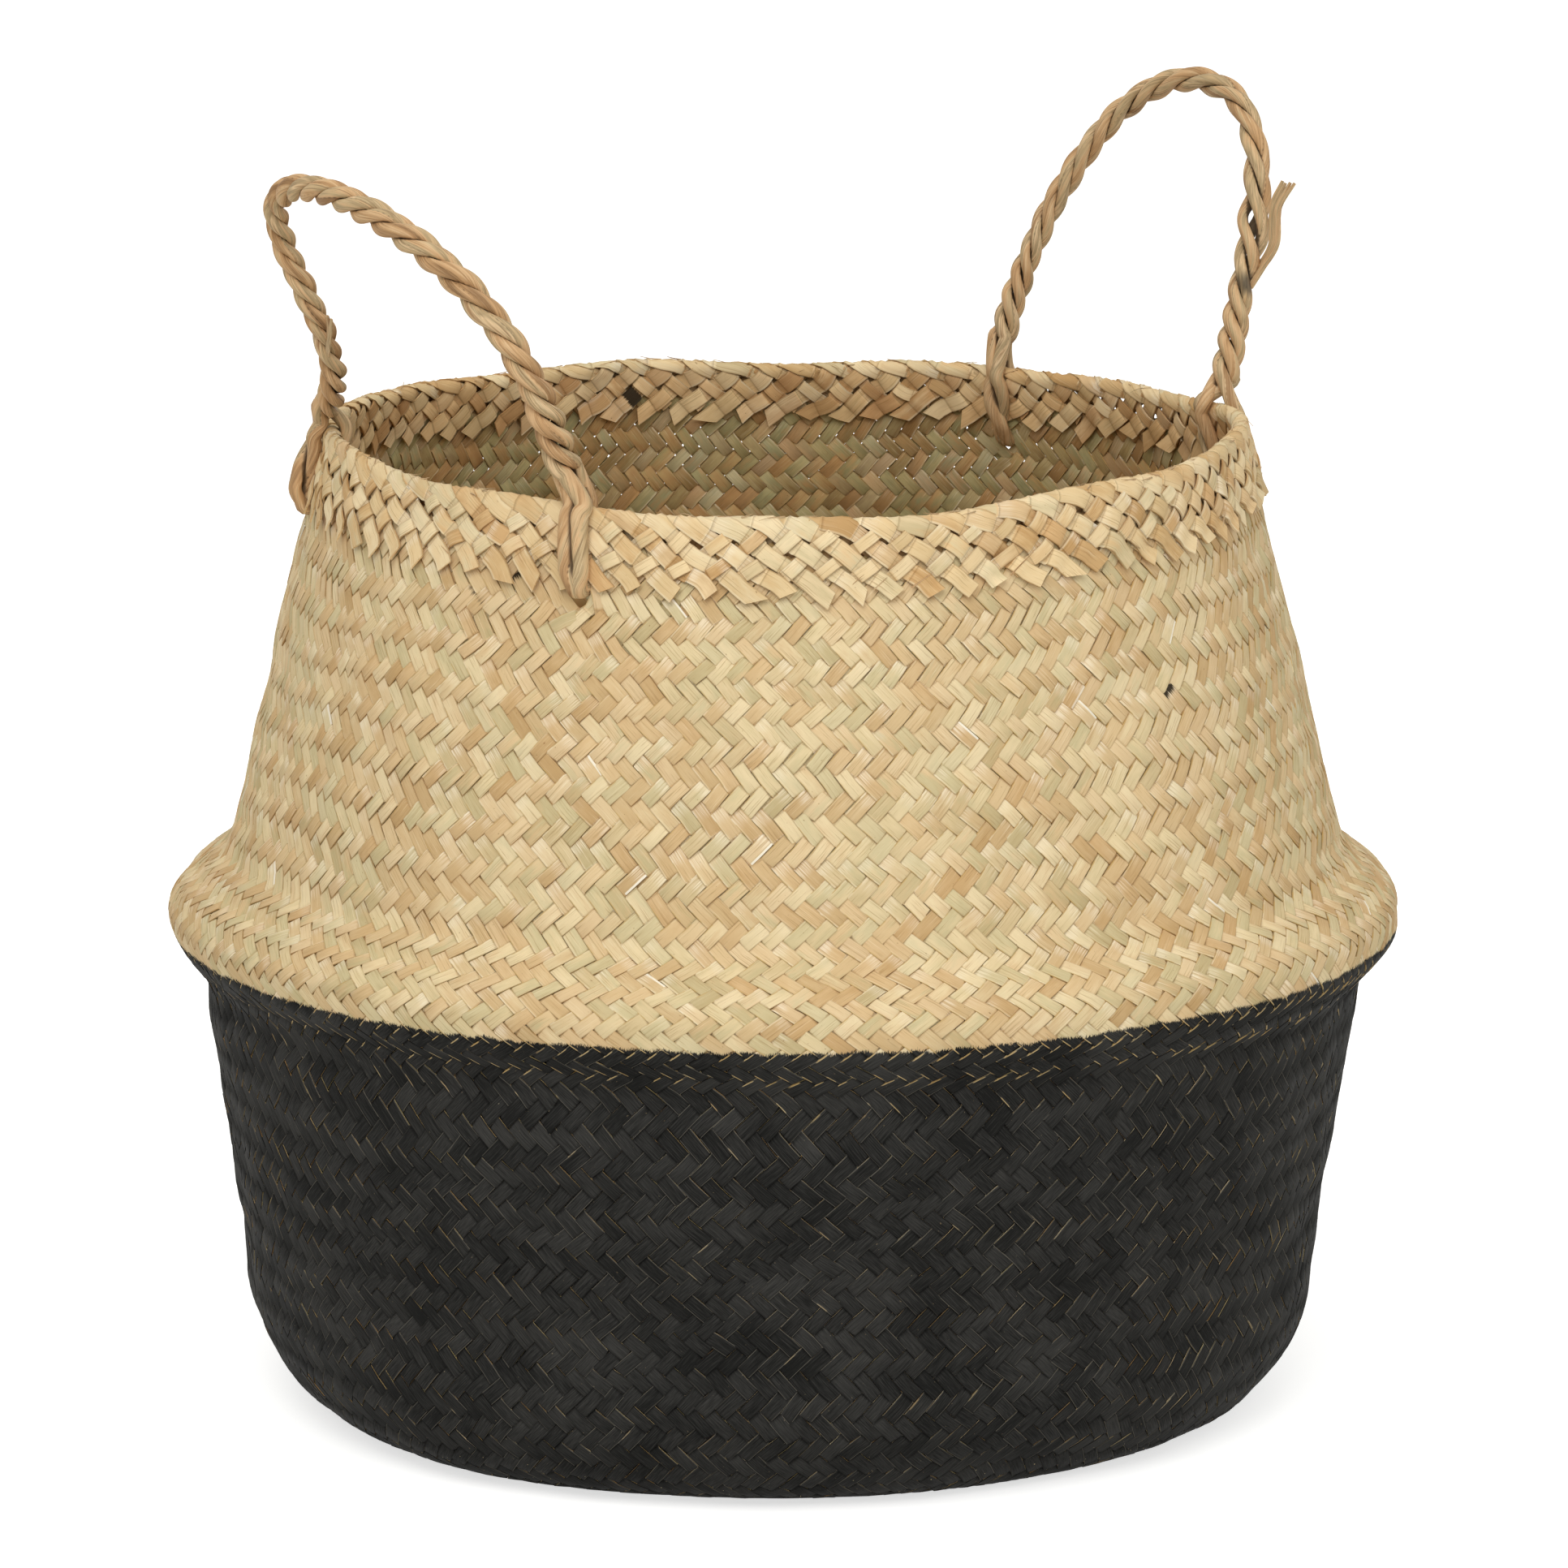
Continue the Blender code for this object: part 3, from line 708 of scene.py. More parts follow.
def raw_lines(tree, luck, streaks, height, edge, reach):
    """1 on the thin lines that the brush missed, at the left edges of some floats."""
    deep = PAINT_LINE - RAW_LINE_DEEP
    near = add(tree, "MapRange", {0: height, 1: deep, 2: PAINT_LINE - 8 * MM, 3: -0.05, 4: 0.37})
    missed = add(tree, "Math", {0: near, 1: luck}, operation="ADD")
    missed = add(tree, "MapRange", {0: missed, 1: 0.70, 2: 0.73})
    wander = add(tree, "MapRange", {0: streaks, 3: -0.10, 4: 0.10})
    sidle = add(tree, "Math", {0: edge, 1: wander}, operation="ADD")
    crease = add(tree, "MapRange", {0: sidle, 1: -0.84, 2: -0.92, 4: 0.9})
    middle = add(tree, "MapRange", {0: reach, 1: 0.52, 2: 0.36})
    raw = add(tree, "Math", {0: crease, 1: middle}, operation="MULTIPLY")
    raw = add(tree, "Math", {0: raw, 1: missed}, operation="MULTIPLY")
    fresh = add(tree, "MapRange", {0: height, 1: deep, 2: PAINT_LINE - 14 * MM, 3: 0.4, 4: 1.0})
    return add(tree, "Math", {0: raw, 1: fresh}, operation="MULTIPLY")


def raw_flecks(tree, fibre, height):
    """1 on small flecks without paint, most of them near the floor."""
    fleck = grain(tree, fibre, FLECK, 1.0)
    fleck = add(tree, "MapRange", {0: fleck, 1: 0.765, 2: 0.775})
    low = add(tree, "MapRange", {0: height, 1: 16 * MM, 2: 8 * MM, 3: 0.15, 4: 1.0})
    return add(tree, "Math", {0: fleck, 1: low}, operation="MULTIPLY")


# %% Painted sedge: the paint's colour, its painted sheen and painted shade
def black_wear_sheen_and_shade(tree, fibre, wall, luck, float_tone, edge, reach):
    """Black that is greyer on worn fibre backs, lighter with painted sheen on some floats and in broad
    patches, darker with painted shade in creases, and rubbed along some edges.
    """
    wear_and_sheen = grain(tree, fibre, WORN, 4.0, 0.65)
    # Painted sheen: some floats a lighter grey, added to the wear of the fibres' backs
    wear_and_sheen = add(tree, "Math", {0: float_tone, 1: 0.15, 2: wear_and_sheen}, operation="MULTIPLY_ADD")
    # Painted sheen: broad patches of lighter grey
    sheen_patches = grain(tree, wall, SHEEN_PATCHES, 2.0)
    wear_and_sheen = add(tree, "Math", {0: sheen_patches, 1: 0.5, 2: wear_and_sheen}, operation="MULTIPLY_ADD")
    wear_and_sheen = add(tree, "MapRange", {0: wear_and_sheen, 1: 0.70, 2: 1.08})
    black = lay_over(tree, linear(BLACK), linear(BLACK_WORN_AND_SHEEN), wear_and_sheen)
    side = add(tree, "Math", {0: edge}, operation="ABSOLUTE")
    dip = add(tree, "MapRange", {0: reach, 1: 0.80, 2: 1.0})
    # Painted shade along the edges and dipping ends of the floats
    fold = add(tree, "MapRange", {0: side, 1: 0.80, 2: 1.0})
    fold = add(tree, "Math", {0: fold, 1: dip}, operation="MAXIMUM")
    black = lay_over(tree, black, linear(BLACK_CREASE_SHADE), fold, 0.6)
    rub = add(tree, "MapRange", {0: side, 1: 0.90, 2: 0.97})
    lucky = add(tree, "MapRange", {0: luck, 1: 0.46, 2: 0.58})
    rub = add(tree, "Math", {0: rub, 1: lucky}, operation="MULTIPLY")
    return lay_over(tree, black, linear(BLACK_RUBBED), rub, 0.42)


def painted_finish(tree):
    """Colour, roughness and streaks of sedge that is painted black up to the paint's edge."""
    colour, streaks, inside = raw_sedge(tree, STRAW, INNER_STRAW_SHADED, WALL_EDGE_SHADE)
    fibre = read_note(tree, "fibre")[0]
    marks, _, float_tone, _ = read_note(tree, "marks")
    rest, angle, height, _ = read_note(tree, "rest")
    _, edge, end, _ = read_note(tree, "spot")
    wall = add(tree, "VectorMath", {0: rest, 1: WALL_METRES}, operation="MULTIPLY")
    reach = add(tree, "Math", {0: end}, operation="ABSOLUTE")
    luck = grain(tree, marks, LUCK, 0.0)

    raw = raw_lines(tree, luck, streaks, height, edge, reach)
    colour = lay_over(tree, colour, linear(RAW_LINE), raw, 0.75)
    flecks = raw_flecks(tree, fibre, height)
    bare = add(tree, "Math", {0: raw, 1: flecks}, operation="MAXIMUM")
    bare = add(tree, "Math", {0: bare, 1: inside}, operation="MAXIMUM")
    below = painted_below(tree, wall, angle, height)
    cover = add(tree, "Math", {0: below, 1: bare}, operation="SUBTRACT", use_clamp=True)

    black = black_wear_sheen_and_shade(tree, fibre, wall, luck, float_tone, edge, reach)
    colour = lay_over(tree, colour, black, cover)
    rough = add(tree, "MapRange", {0: cover, 3: 0.62, 4: 0.74})
    return colour, rough, streaks


# %% The four sedge materials
natural = finish_sedge("plaited_sedge_raw", painted_finish, WAXY)
painted = finish_sedge("plaited_sedge_painted", painted_finish, MATT)
hem_sedge = finish_sedge("plaited_sedge_hem", raw_finish(HEM_STRAW, INNER_HEM, HEM_EDGE_SHADE), WAXY)
inner_sedge = finish_sedge("plaited_sedge_inner_hem", raw_finish(HEM_STRAW, INNER_HEM, HEM_EDGE_SHADE), WAXY)
print("sedge materials:", natural.name, painted.name, hem_sedge.name, inner_sedge.name)

# %% [markdown]
# The lattice. 168 strips lean right and 168 lean left. Strip q of one lean meets a strip
# of the other at every level, and its angle moves half a pitch for each level. The strips
# keep their width, so where the wall is narrow they must stand steeper: the sine of their
# slope is the strip's spacing over the pitch. Each strip goes over two and under two, and
# the floats of a lean share their levels, which gives the level herringbone rows.

# %% Levels of the wall's lattice
STRIPS = 168
STRIP_SPACING = 4.66 * MM
NECK_SPACING = 4.50 * MM
STRIP_GAP = 0.03 * MM
STRIP_THICK = 0.5 * MM
STRIP_SWING = 0.46 * MM
STRIP_CROWN = 0.07 * MM
WALL_MIDDLE = STRIP_SWING + STRIP_THICK / 2
STEEPEST_SINE = 0.86


def lattice_levels(line):
    """Distances along the section line at which strips of the two leans meet, and spacings."""
    levels = [0.0]
    spacings = []
    while levels[-1] < line.length[-1]:
        s = levels[-1]
        pitch = 2 * math.pi * line.read(line.radius, s) / STRIPS
        upper = ramp(line.read(line.height, s), SHOULDER_HEIGHT, RIM_HEIGHT)
        wanted = between(STRIP_SPACING, NECK_SPACING, upper)
        sine = min(wanted / pitch, STEEPEST_SINE)
        spacings.append(sine * pitch)
        levels.append(s + pitch / 2 * sine / math.sqrt(1 - sine * sine))
    return np.array(levels[:-1]), np.array(spacings)


WALL_LEVELS, WALL_SPACINGS = lattice_levels(WALL_LINE)
print(f"{len(WALL_LEVELS)} levels, {1000 * np.diff(WALL_LEVELS).mean():.2f} mm apart on average")

# %% [markdown]
# A float is flat over the two strips that it crosses, then dives in the gap before the
# third, so its end is cut square by the edge of the strip that covers it. Four
# stations a float are enough: three on the flat and one in the dive. Where the handles'
# ropes go through the wall, the strips were pried apart, so a strip near a hole bends
# round it.

# %% Stations of a strip and the pried holes
FLOAT_PLACES = np.array([-0.87, 0.0, 0.87, 1.0])
FLOAT_LIFTS = np.array([0.95, 1.0, 0.95, 0.0])
PLACES = len(FLOAT_PLACES)
SLIDE = 0.22 * MM
CLIMB = 0.2 * MM
ROW_CLIMB = 1.1 * MM
HOLE_BELOW_ROPE = 1.5 * MM
HOLE_REACH = 9 * MM

slides = Waves("slides", 26, 46, 22 * MM)
climbs = Waves("climbs", 26, 46, 22 * MM)
row_waves = Waves("rows", 12, 9, 90 * MM)


def float_stations(levels):
    """Level numbers of the stations, which float each is on, its lift and its place."""
    floats = np.arange(len(levels) // 2 - 1)
    number = (0.5 + 2 * floats[:, None] + FLOAT_PLACES[None, :]).ravel().clip(0)
    lifts = np.tile(FLOAT_LIFTS, len(floats))
    return number, np.repeat(floats, PLACES), lifts, np.tile(FLOAT_PLACES, len(floats))


def pry_apart(angle, s, radius, width, holes):
    """Moves a strip's stations sideways round each hole that it would cover."""
    for hole_angle, hole_s, hole_half in holes:
        x = turn_between(angle, hole_angle) * radius
        y = s - hole_s
        near = int(np.clip(np.argmin(x * x + y * y), 1, len(x) - 2))
        if math.hypot(x[near], y[near]) > HOLE_REACH:
            continue
        step = np.array([x[near + 1] - x[near - 1], y[near + 1] - y[near - 1]])
        step = step / np.linalg.norm(step)
        across = x[near] * step[1] - y[near] * step[0]
        push = hole_half + width / 2 - abs(across)
        if push > 0:
            way = 1 if across >= 0 else -1
            away = (x - x[near]) ** 2 + (y - y[near]) ** 2
            fade = np.exp(-away / HOLE_REACH ** 2) * push * way
            angle = angle + fade * step[1] / radius
            s = s - fade * step[0]
    return angle, s


# %% [markdown]
# The handles are needed before the wall, because their feet say where the holes are.
# Each stands on the line of its hinge, which the frame holds. The arch was read from the
# photograph as shares of half the distance between the feet and of the height.

# %% Handles: where they stand and how they arch
RIGHT_ARCH = (
    (-1.06, 0), (-1.04, 0.12), (-1.0, 0.25), (-0.96, 0.38), (-0.93, 0.5), (-0.89, 0.61),
    (-0.81, 0.73), (-0.66, 0.86), (-0.43, 0.965), (-0.1, 1.01), (0.24, 0.98), (0.54, 0.87),
    (0.71, 0.74), (0.83, 0.61), (0.91, 0.5), (0.96, 0.38), (0.99, 0.25), (1, 0.12), (1, 0),
)
LEFT_ARCH = (
    (-1, 0), (-0.85, 0.09), (-0.73, 0.2), (-0.66, 0.36), (-0.665, 0.55), (-0.67, 0.73),
    (-0.6, 0.88), (-0.41, 0.975), (-0.12, 1), (0.19, 0.96), (0.5, 0.87), (0.74, 0.75),
    (0.9, 0.62), (0.99, 0.48), (1.03, 0.32), (1.02, 0.16), (1, 0),
)
JOINTS = {joint["name"]: joint for joint in frame["joints"]}


class Handle:
    """A handle's own directions: along its hinge, and up its leaning plane."""

    def __init__(self, name, lean, half_chord, height, arch):
        self.name = name
        self.body = name + "_handle"
        self.hinge = np.array(JOINTS[name + "_handle_swing"]["pos_m"])
        self.turn = math.atan2(self.hinge[1], self.hinge[0])
        self.out = np.array([math.cos(self.turn), math.sin(self.turn), 0])
        self.along = np.array([-math.sin(self.turn), math.cos(self.turn), 0])
        self.up = np.array([0, 0, math.cos(lean)]) + self.out * math.sin(lean)
        self.face = self.out * math.cos(lean) - np.array([0, 0, math.sin(lean)])
        self.half_chord = half_chord
        self.height = height
        self.arch = arch
        self.foot_turn = math.atan2(half_chord, math.hypot(self.hinge[0], self.hinge[1]))

    def at(self, along, up, off=0.0):
        return self.hinge + self.along * along + self.up * up + self.face * off

    def limb(self, side, up):
        """Distance along the hinge of a limb's middle at a height above the hinge."""
        marks = sorted((h * self.height, a * self.half_chord) for a, h in self.arch if a * side > 0)
        return np.interp(up, [h for h, _ in marks], [a for _, a in marks])


RIGHT = Handle("right", math.radians(22), 54 * MM, 98.6 * MM, RIGHT_ARCH)
LEFT = Handle("left", math.radians(25), 72 * MM, 90.6 * MM, LEFT_ARCH)
HOLE_HEIGHT = HEM_BOTTOM + 1.8 * MM
HOLE_S = float(np.interp(HOLE_HEIGHT, WALL_LINE.height, WALL_LINE.length))
# How far each foot's hole lies beside the foot, the way the angle grows, and half its width
FOOT_HOLES = {
    ("left", -1): (0.0, 2.2 * MM), ("left", 1): (6.5 * MM, 3.5 * MM),
    ("right", -1): (-7 * MM, 2.2 * MM), ("right", 1): (0.0, 1.7 * MM),
}
HOLES = []
for handle in (LEFT, RIGHT):
    for side in (-1, 1):
        aside, half = FOOT_HOLES[(handle.name, side)]
        turn = handle.turn + side * handle.foot_turn + aside / WALL_LINE.read(WALL_LINE.radius, HOLE_S)
        HOLES.append((turn, HOLE_S - HOLE_BELOW_ROPE, half))
print("rope holes at", [round(math.degrees(hole[0])) for hole in HOLES], "degrees")

# %% [markdown]
# Now the wall itself, in sectors of 21 strips of one lean. The painted strips end just
# below the paint's edge and ride on the base. The raw ones go on from there, over the
# fold and up under the hem.

# %% How the strips of the wall vary
SECTORS = 8
PIN_HOLE_BAND = (262 * MM, 284 * MM)
PIN_HOLE_END = (296 * MM, 303 * MM)
PIN_HOLE_SLIM = 0.15
LIFT_SPREAD = (0.8, 1.15)
WIDTH_SPREAD = 0.028
WIDTH_LIMITS = (-1.8, 0.9)
TONE_SPREAD = 0.06
# A leaning strip is longer than the part of the section that it climbs
WALL_FIBRE_LONGER = 1.4
FLOAT_TILT = 0.09 * MM
FLOAT_SKEW = 0.07 * MM
JOIN_BELOW_PAINT = 5 * MM
# Corners of a strip's section: share of its width, of its thickness, and of its crown
SECTION = ((-1, 0.5, 0), (0, 0.5, 1), (1, 0.5, 0), (1, -0.5, 0), (-1, -0.5, 0))

WALL_NUMBER, WALL_FLOAT, WALL_LIFT, WALL_PLACE = float_stations(WALL_LEVELS)
WALL_S = np.interp(WALL_NUMBER, np.arange(len(WALL_LEVELS)), WALL_LEVELS)
WALL_WIDTH = np.interp(WALL_NUMBER, np.arange(len(WALL_LEVELS)), WALL_SPACINGS) - STRIP_GAP
WALL_Z = WALL_LINE.read(WALL_LINE.height, WALL_S)
WALL_R = WALL_LINE.read(WALL_LINE.radius, WALL_S)
JOIN = int(np.argmin(np.where(WALL_PLACE == 1.0, abs(WALL_Z - (PAINT_HEIGHT - JOIN_BELOW_PAINT)), 1.0)))

# Burnt or dark spots: lean of the strip, turn from the middle of the front, height, reach
SCORCH_LONG = 1.7
MOST_BURNT = 1.5
SCORCHES = (
    (1, math.radians(-37.5), 284.5 * MM, 2.3 * MM),
    (-1, math.radians(-67.5), 197.5 * MM, 1.7 * MM),
    (1, math.radians(-77), 170 * MM, 1.5 * MM),
    (1, math.radians(-2.5), 199 * MM, 1.2 * MM),
    (-1, math.radians(47), 251 * MM, 1.3 * MM),
    (-1, math.radians(5.5), 176 * MM, 0.6 * MM),
    (-1, math.radians(-33), 294.5 * MM, 2.0 * MM),
)
print(f"{len(WALL_S)} stations a strip, painted up to station {JOIN}, {len(SCORCHES)} burns")

# %% [markdown]
# A strip is laid by moving its corners sideways and in depth from its middle line. The
# same two functions lay and describe the strips of the wall and those of the hem.

# %% Laying and describing a strip
def lay_strip(line, section, angle, s, lift, half, thick, crown, tilt):
    """Rings of a strip whose middle runs through angle and s, as stations x ring x 3."""
    radius = line.read(line.radius, s)
    x = np.gradient(angle) * radius
    y = np.gradient(s)
    size = np.hypot(x, y)
    points = []
    for edge, deep, bulge in section:
        ring_angle = angle + half * edge * (y / size) / radius
        ring_s = s - half * edge * (x / size)
        depth = WALL_MIDDLE - lift - deep * thick - bulge * crown - tilt * edge
        points.append(place(line, ring_angle, ring_s, depth))
    return np.stack(points, 1)


def describe(points, section, half, along, strip, tone, float_tone, scorch, end, pale):
    """What the materials read at each point of a strip."""
    count, ring = points.shape[:2]

    def spread(values):
        return np.broadcast_to(np.asarray(values, float).reshape(-1, 1), (count, ring))

    edge = np.broadcast_to([part[0] for part in section], (count, ring))
    outward = np.broadcast_to([part[1] + 0.5 for part in section], (count, ring))
    turn = np.unwrap(np.arctan2(points[..., 1], points[..., 0]), axis=0)
    fibre = np.stack([edge * spread(half), spread(along), spread(strip)], -1)
    marks = np.stack([spread(tone), spread(float_tone), spread(scorch)], -1)
    rest = np.stack([turn, points[..., 2], outward], -1)
    spot = np.stack([edge, spread(end), spread(pale)], -1)
    return fibre, marks, rest, spot


def scorch_at(lean, angle, height, radius):
    """How burnt a place is, from 0 to MOST_BURNT. A burn is longer along the strip."""
    scorch = np.zeros(len(angle))
    for burnt_lean, turn, level, reach in SCORCHES:
        if burnt_lean != lean:
            continue
        x = turn_between(angle, FRONT + turn) * radius * lean
        y = height - level
        away = np.hypot((x + y) / SCORCH_LONG, x - y) / math.sqrt(2)
        scorch = np.maximum(scorch, np.clip(MOST_BURNT - away / reach, 0, MOST_BURNT))
    return scorch


# %% One strip of the wall
def wall_strip(lean, number, low, high):
    """Rings and notes of one strip of the wall between two stations."""
    draw = dice(f"strip {lean} {number}")
    floats = WALL_FLOAT.max() + 1

    def per_float(values):
        return values[WALL_FLOAT]

    angle = (2 * number + lean * WALL_NUMBER) * math.pi / STRIPS
    angle = angle + slides.at(angle, WALL_Z) * SLIDE / WALL_R
    skew = per_float(draw.normal(0, 1, floats)) * FLOAT_SKEW * WALL_PLACE * (WALL_PLACE < 1)
    angle = angle + skew / WALL_R
    s = WALL_S + climbs.at(angle, WALL_Z) * CLIMB - lean * skew
    s = s + row_waves.at(angle, WALL_Z) * ROW_CLIMB * ramp(WALL_S, 0, 60 * MM)
    angle, s = pry_apart(angle, s, WALL_R, STRIP_SPACING, HOLES)
    over = np.where((WALL_FLOAT + (lean < 0)) % 2 == 0, 1, -1)
    lift = over * WALL_LIFT * STRIP_SWING * per_float(draw.uniform(*LIFT_SPREAD, floats))
    tilt = per_float(draw.normal(0, 1, floats)) * FLOAT_TILT
    pinned = ramp(WALL_Z, *PIN_HOLE_BAND) * (1 - ramp(WALL_Z, *PIN_HOLE_END))
    slim = pinned * per_float(draw.uniform(0, PIN_HOLE_SLIM, floats))
    wide = 1 + WIDTH_SPREAD * per_float(draw.normal(0, 1, floats).clip(*WIDTH_LIMITS))
    half = WALL_WIDTH / 2 * (1 - slim) * wide
    tone = draw.uniform(0, 1) + TONE_SPREAD * per_float(draw.normal(0, 1, floats))
    float_tone = per_float(draw.uniform(0, 1, floats))
    pale = per_float(draw.uniform(0, 1, floats))
    scorch = scorch_at(lean, angle, WALL_Z, WALL_R) * (over > 0)
    use = slice(low, high)
    points = lay_strip(WALL_LINE, SECTION, angle[use], s[use], lift[use], half[use],
                       STRIP_THICK, STRIP_CROWN, tilt[use])
    strip = number + STRIPS * 3 * (lean < 0)
    along = WALL_S[use] * WALL_FIBRE_LONGER
    notes = describe(points, SECTION, half[use], along, strip, tone[use], float_tone[use],
                     scorch[use], WALL_PLACE[use], pale[use])
    return points, notes


def wall_sector(name, lean, first, count, low, high, material):
    """One piece of neighbouring strips of one lean, between two of their stations."""
    bundle = Bundle(name)
    for number in range(first, first + count):
        bundle.add(*wall_strip(lean, number, low, high))
    return bundle.make(material)


# %% All strips of the wall
total = 0
for lean_name, lean in (("right_leaning", 1), ("left_leaning", -1)):
    count = STRIPS // SECTORS
    for sector in range(SECTORS):
        piece = wall_sector(f"raw_strips_{lean_name}_{sector + 1}", lean, sector * count, count,
                            JOIN, len(WALL_S), natural)
        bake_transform(piece)
        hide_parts("fold_shoulder", "upper_wall")
        total += len(piece.data.polygons)
    count = 2 * STRIPS // SECTORS
    for sector in range(SECTORS // 2):
        piece = wall_sector(f"painted_strips_{lean_name}_{sector + 1}", lean, sector * count, count,
                            0, JOIN + 1, painted)
        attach(piece, "base")
        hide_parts("base_corner", "lower_wall", "belly_tuck")
        total += len(piece.data.polygons)
print(f"wall: {2 * STRIPS} strips, {total} faces")

# %% [markdown]
# The bottom is a mat of square plaiting: strips along and across, over two and under two
# as in the wall. On the real basket its strips turn up into the wall. Here they end on
# top of the wall's first row, which closes the basket in the same way.

# %% Mat of the bottom
MAT_REACH = BASE_RADIUS + 4 * MM
MAT_TURN = math.radians(17)
MAT_RISE = 1.3 * MM
MAT_OVER_RING = (RING_START - 22 * MM, RING_START - 3 * MM)
MAT_WOBBLE = 0.25 * MM
MAT_WOBBLE_LONG = 23 * MM
MAT_STATION = 0.38
MAT_WIDTH_SPREAD = 0.03
MAT_WIDTH_LIMITS = (-2, 1)
# The mat's strips have no place on a float: all their points count as near its middle
MAT_PLACE = 0.3
MAT_PALE = 0.2


def mat_height(radius):
    """Height of the mat's underside: flat, then up onto the wall's first row."""
    turn = np.clip((radius - BASE_RADIUS) / (CORNER_RADIUS - BASE_RADIUS), 0, 1)
    return MAT_RISE * ramp(radius, *MAT_OVER_RING) + CORNER_HEIGHT * (1 - np.sqrt(1 - turn ** 2))


def mat_strip(way, number):
    """One strip of the mat: way 0 runs along, way 1 across."""
    draw = dice(f"mat {way} {number}")
    off = number * STRIP_SPACING
    half_length = math.sqrt(MAT_REACH ** 2 - off ** 2)
    most = int(half_length / STRIP_SPACING)
    cells = np.arange(-most - 1, most + 1)
    crossing = np.repeat(cells, 2) + np.tile([-MAT_STATION, MAT_STATION], len(cells))
    crossing = crossing[abs(crossing * STRIP_SPACING) < half_length]
    cell = np.floor(crossing + 0.5).astype(int)
    over = (cell - number) % 4 < 2 if way == 0 else (-number - cell) % 4 >= 2
    lift = np.where(over, 1, -1) * STRIP_SWING
    x = crossing * STRIP_SPACING
    wobble = MAT_WOBBLE * np.cos(x / MAT_WOBBLE_LONG + draw.uniform(0, 6))
    wide = 1 + MAT_WIDTH_SPREAD * draw.normal(0, 1, len(x)).clip(*MAT_WIDTH_LIMITS)
    half = (STRIP_SPACING - STRIP_GAP) / 2 * wide
    points = []
    for edge, deep, bulge in SECTION:
        across = off + wobble - edge * half
        depth = WALL_MIDDLE - lift - deep * STRIP_THICK - bulge * STRIP_CROWN
        px, py = (x, across) if way == 0 else (-across, x)
        radius = np.hypot(px, py)
        angle = -np.arctan2(py, px) - MAT_TURN
        points.append(uneven(angle, radius, mat_height(radius) + depth + STRIP_CROWN))
    points = np.stack(points, 1)
    tone = np.full(len(x), draw.uniform(0, 1))
    strip = 4 * STRIPS + number + 100 * way
    float_tone = draw.uniform(0, 1, len(x))
    notes = describe(points, SECTION, half, x, strip, tone, float_tone, 0, MAT_PLACE, MAT_PALE)
    return points, notes


mat = Bundle("base_plaiting")
MAT_MOST = int(MAT_REACH / STRIP_SPACING - 1)
for way in (0, 1):
    for number in range(-MAT_MOST, MAT_MOST + 1):
        mat.add(*mat_strip(way, number))
piece = mat.make(painted)
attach(piece, "base")
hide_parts("base_mat")
lowest = min(ring[..., 2].min() for ring in mat.rings)
print(f"mat: {len(mat.rings)} strips, lowest point {1000 * lowest:.2f} mm")

# %% [markdown]
# The rim. Here the strips' ends are folded over the edge and plaited down again on the
# outside, two at a time, so the hem's lattice has half as many strips, wider ones, and
# goes over one and under one. The left-leaning strips lie on top along the crest, where
# they run flatter and lap over each other like a rope, and end below in cut tips. The
# strips that end in tips are wide, and the ones that hold them down are narrow and arch
# over them. The section line of the hem starts at the outside's lower edge, goes up over
# the crest and ends low on the inside.

# %% The hem's section
HEM_STRIPS = 84
HEM_LEVEL = 4.35 * MM
HEM_WIDTH = 5.7 * MM
HEM_CROSS_WIDTH = 4.2 * MM
HEM_THICK = 0.6 * MM
HEM_SWING = 0.70 * MM
HEM_CROWN = 0.10 * MM
HEM_OUTSIDE = 0.95 * MM
HEM_INSIDE = 2.5 * MM
CREST_ROUND = (HEM_OUTSIDE + HEM_INSIDE) / 2
CREST_TO_FIRST = 3.2 * MM
HEM_OUTER_REACH = 31 * MM
HEM_INNER_REACH = 29 * MM
CREST_STEPS = 24


def hem_outline():
    """Middle of the hem's thickness, from low outside over the crest to low inside."""
    top = RIM_HEIGHT - CREST_ROUND - HEM_SWING - HEM_THICK / 2
    slope = (wall_radius(top) - wall_radius(top - MM)) / MM
    level = math.hypot(1, slope)
    outer_z = np.arange(top - HEM_OUTER_REACH, top, OUTLINE_STEP)
    outer_r = wall_radius(outer_z) + HEM_OUTSIDE * level
    turns = np.linspace(0, math.pi, CREST_STEPS)
    middle = wall_radius(top) - (HEM_INSIDE - HEM_OUTSIDE) / 2 * level
    crest_r = middle + CREST_ROUND * level * np.cos(turns)
    crest_z = top + CREST_ROUND * np.sin(turns)
    inner_z = np.arange(top - OUTLINE_STEP, top - HEM_INNER_REACH, -OUTLINE_STEP)
    inner_r = wall_radius(inner_z) - HEM_INSIDE * level
    radius = np.concatenate([outer_r, crest_r, inner_r])
    height = np.concatenate([outer_z, crest_z, inner_z])
    line = Outline(radius, height)
    return line, float(line.length[len(outer_z) + CREST_STEPS // 2])


HEM_LINE, HEM_CREST = hem_outline()
# Levels, from low outside to low inside, at which the left-leaning strips lie on top
LEFT_OVER = np.array([1, -1, 1, -1, 1, 1, -1, 1, -1])
CREST_LEVEL = 4
HEM_LEVELS = HEM_CREST - CREST_TO_FIRST + HEM_LEVEL * (np.arange(len(LEFT_OVER)) - CREST_LEVEL)
print(f"hem's section {1000 * HEM_LINE.length[-1]:.0f} mm, crest at {1000 * HEM_CREST:.0f} mm along it")

# %% [markdown]
# A strip of the hem goes from low outside over the crest to low inside. The left-leaning
# ones end in cut tips outside, and the right-leaning ones inside. Each is drawn as two
# ribbons that overlap just below the crest inside, so that the outer and the inner band
# are pieces of their own.

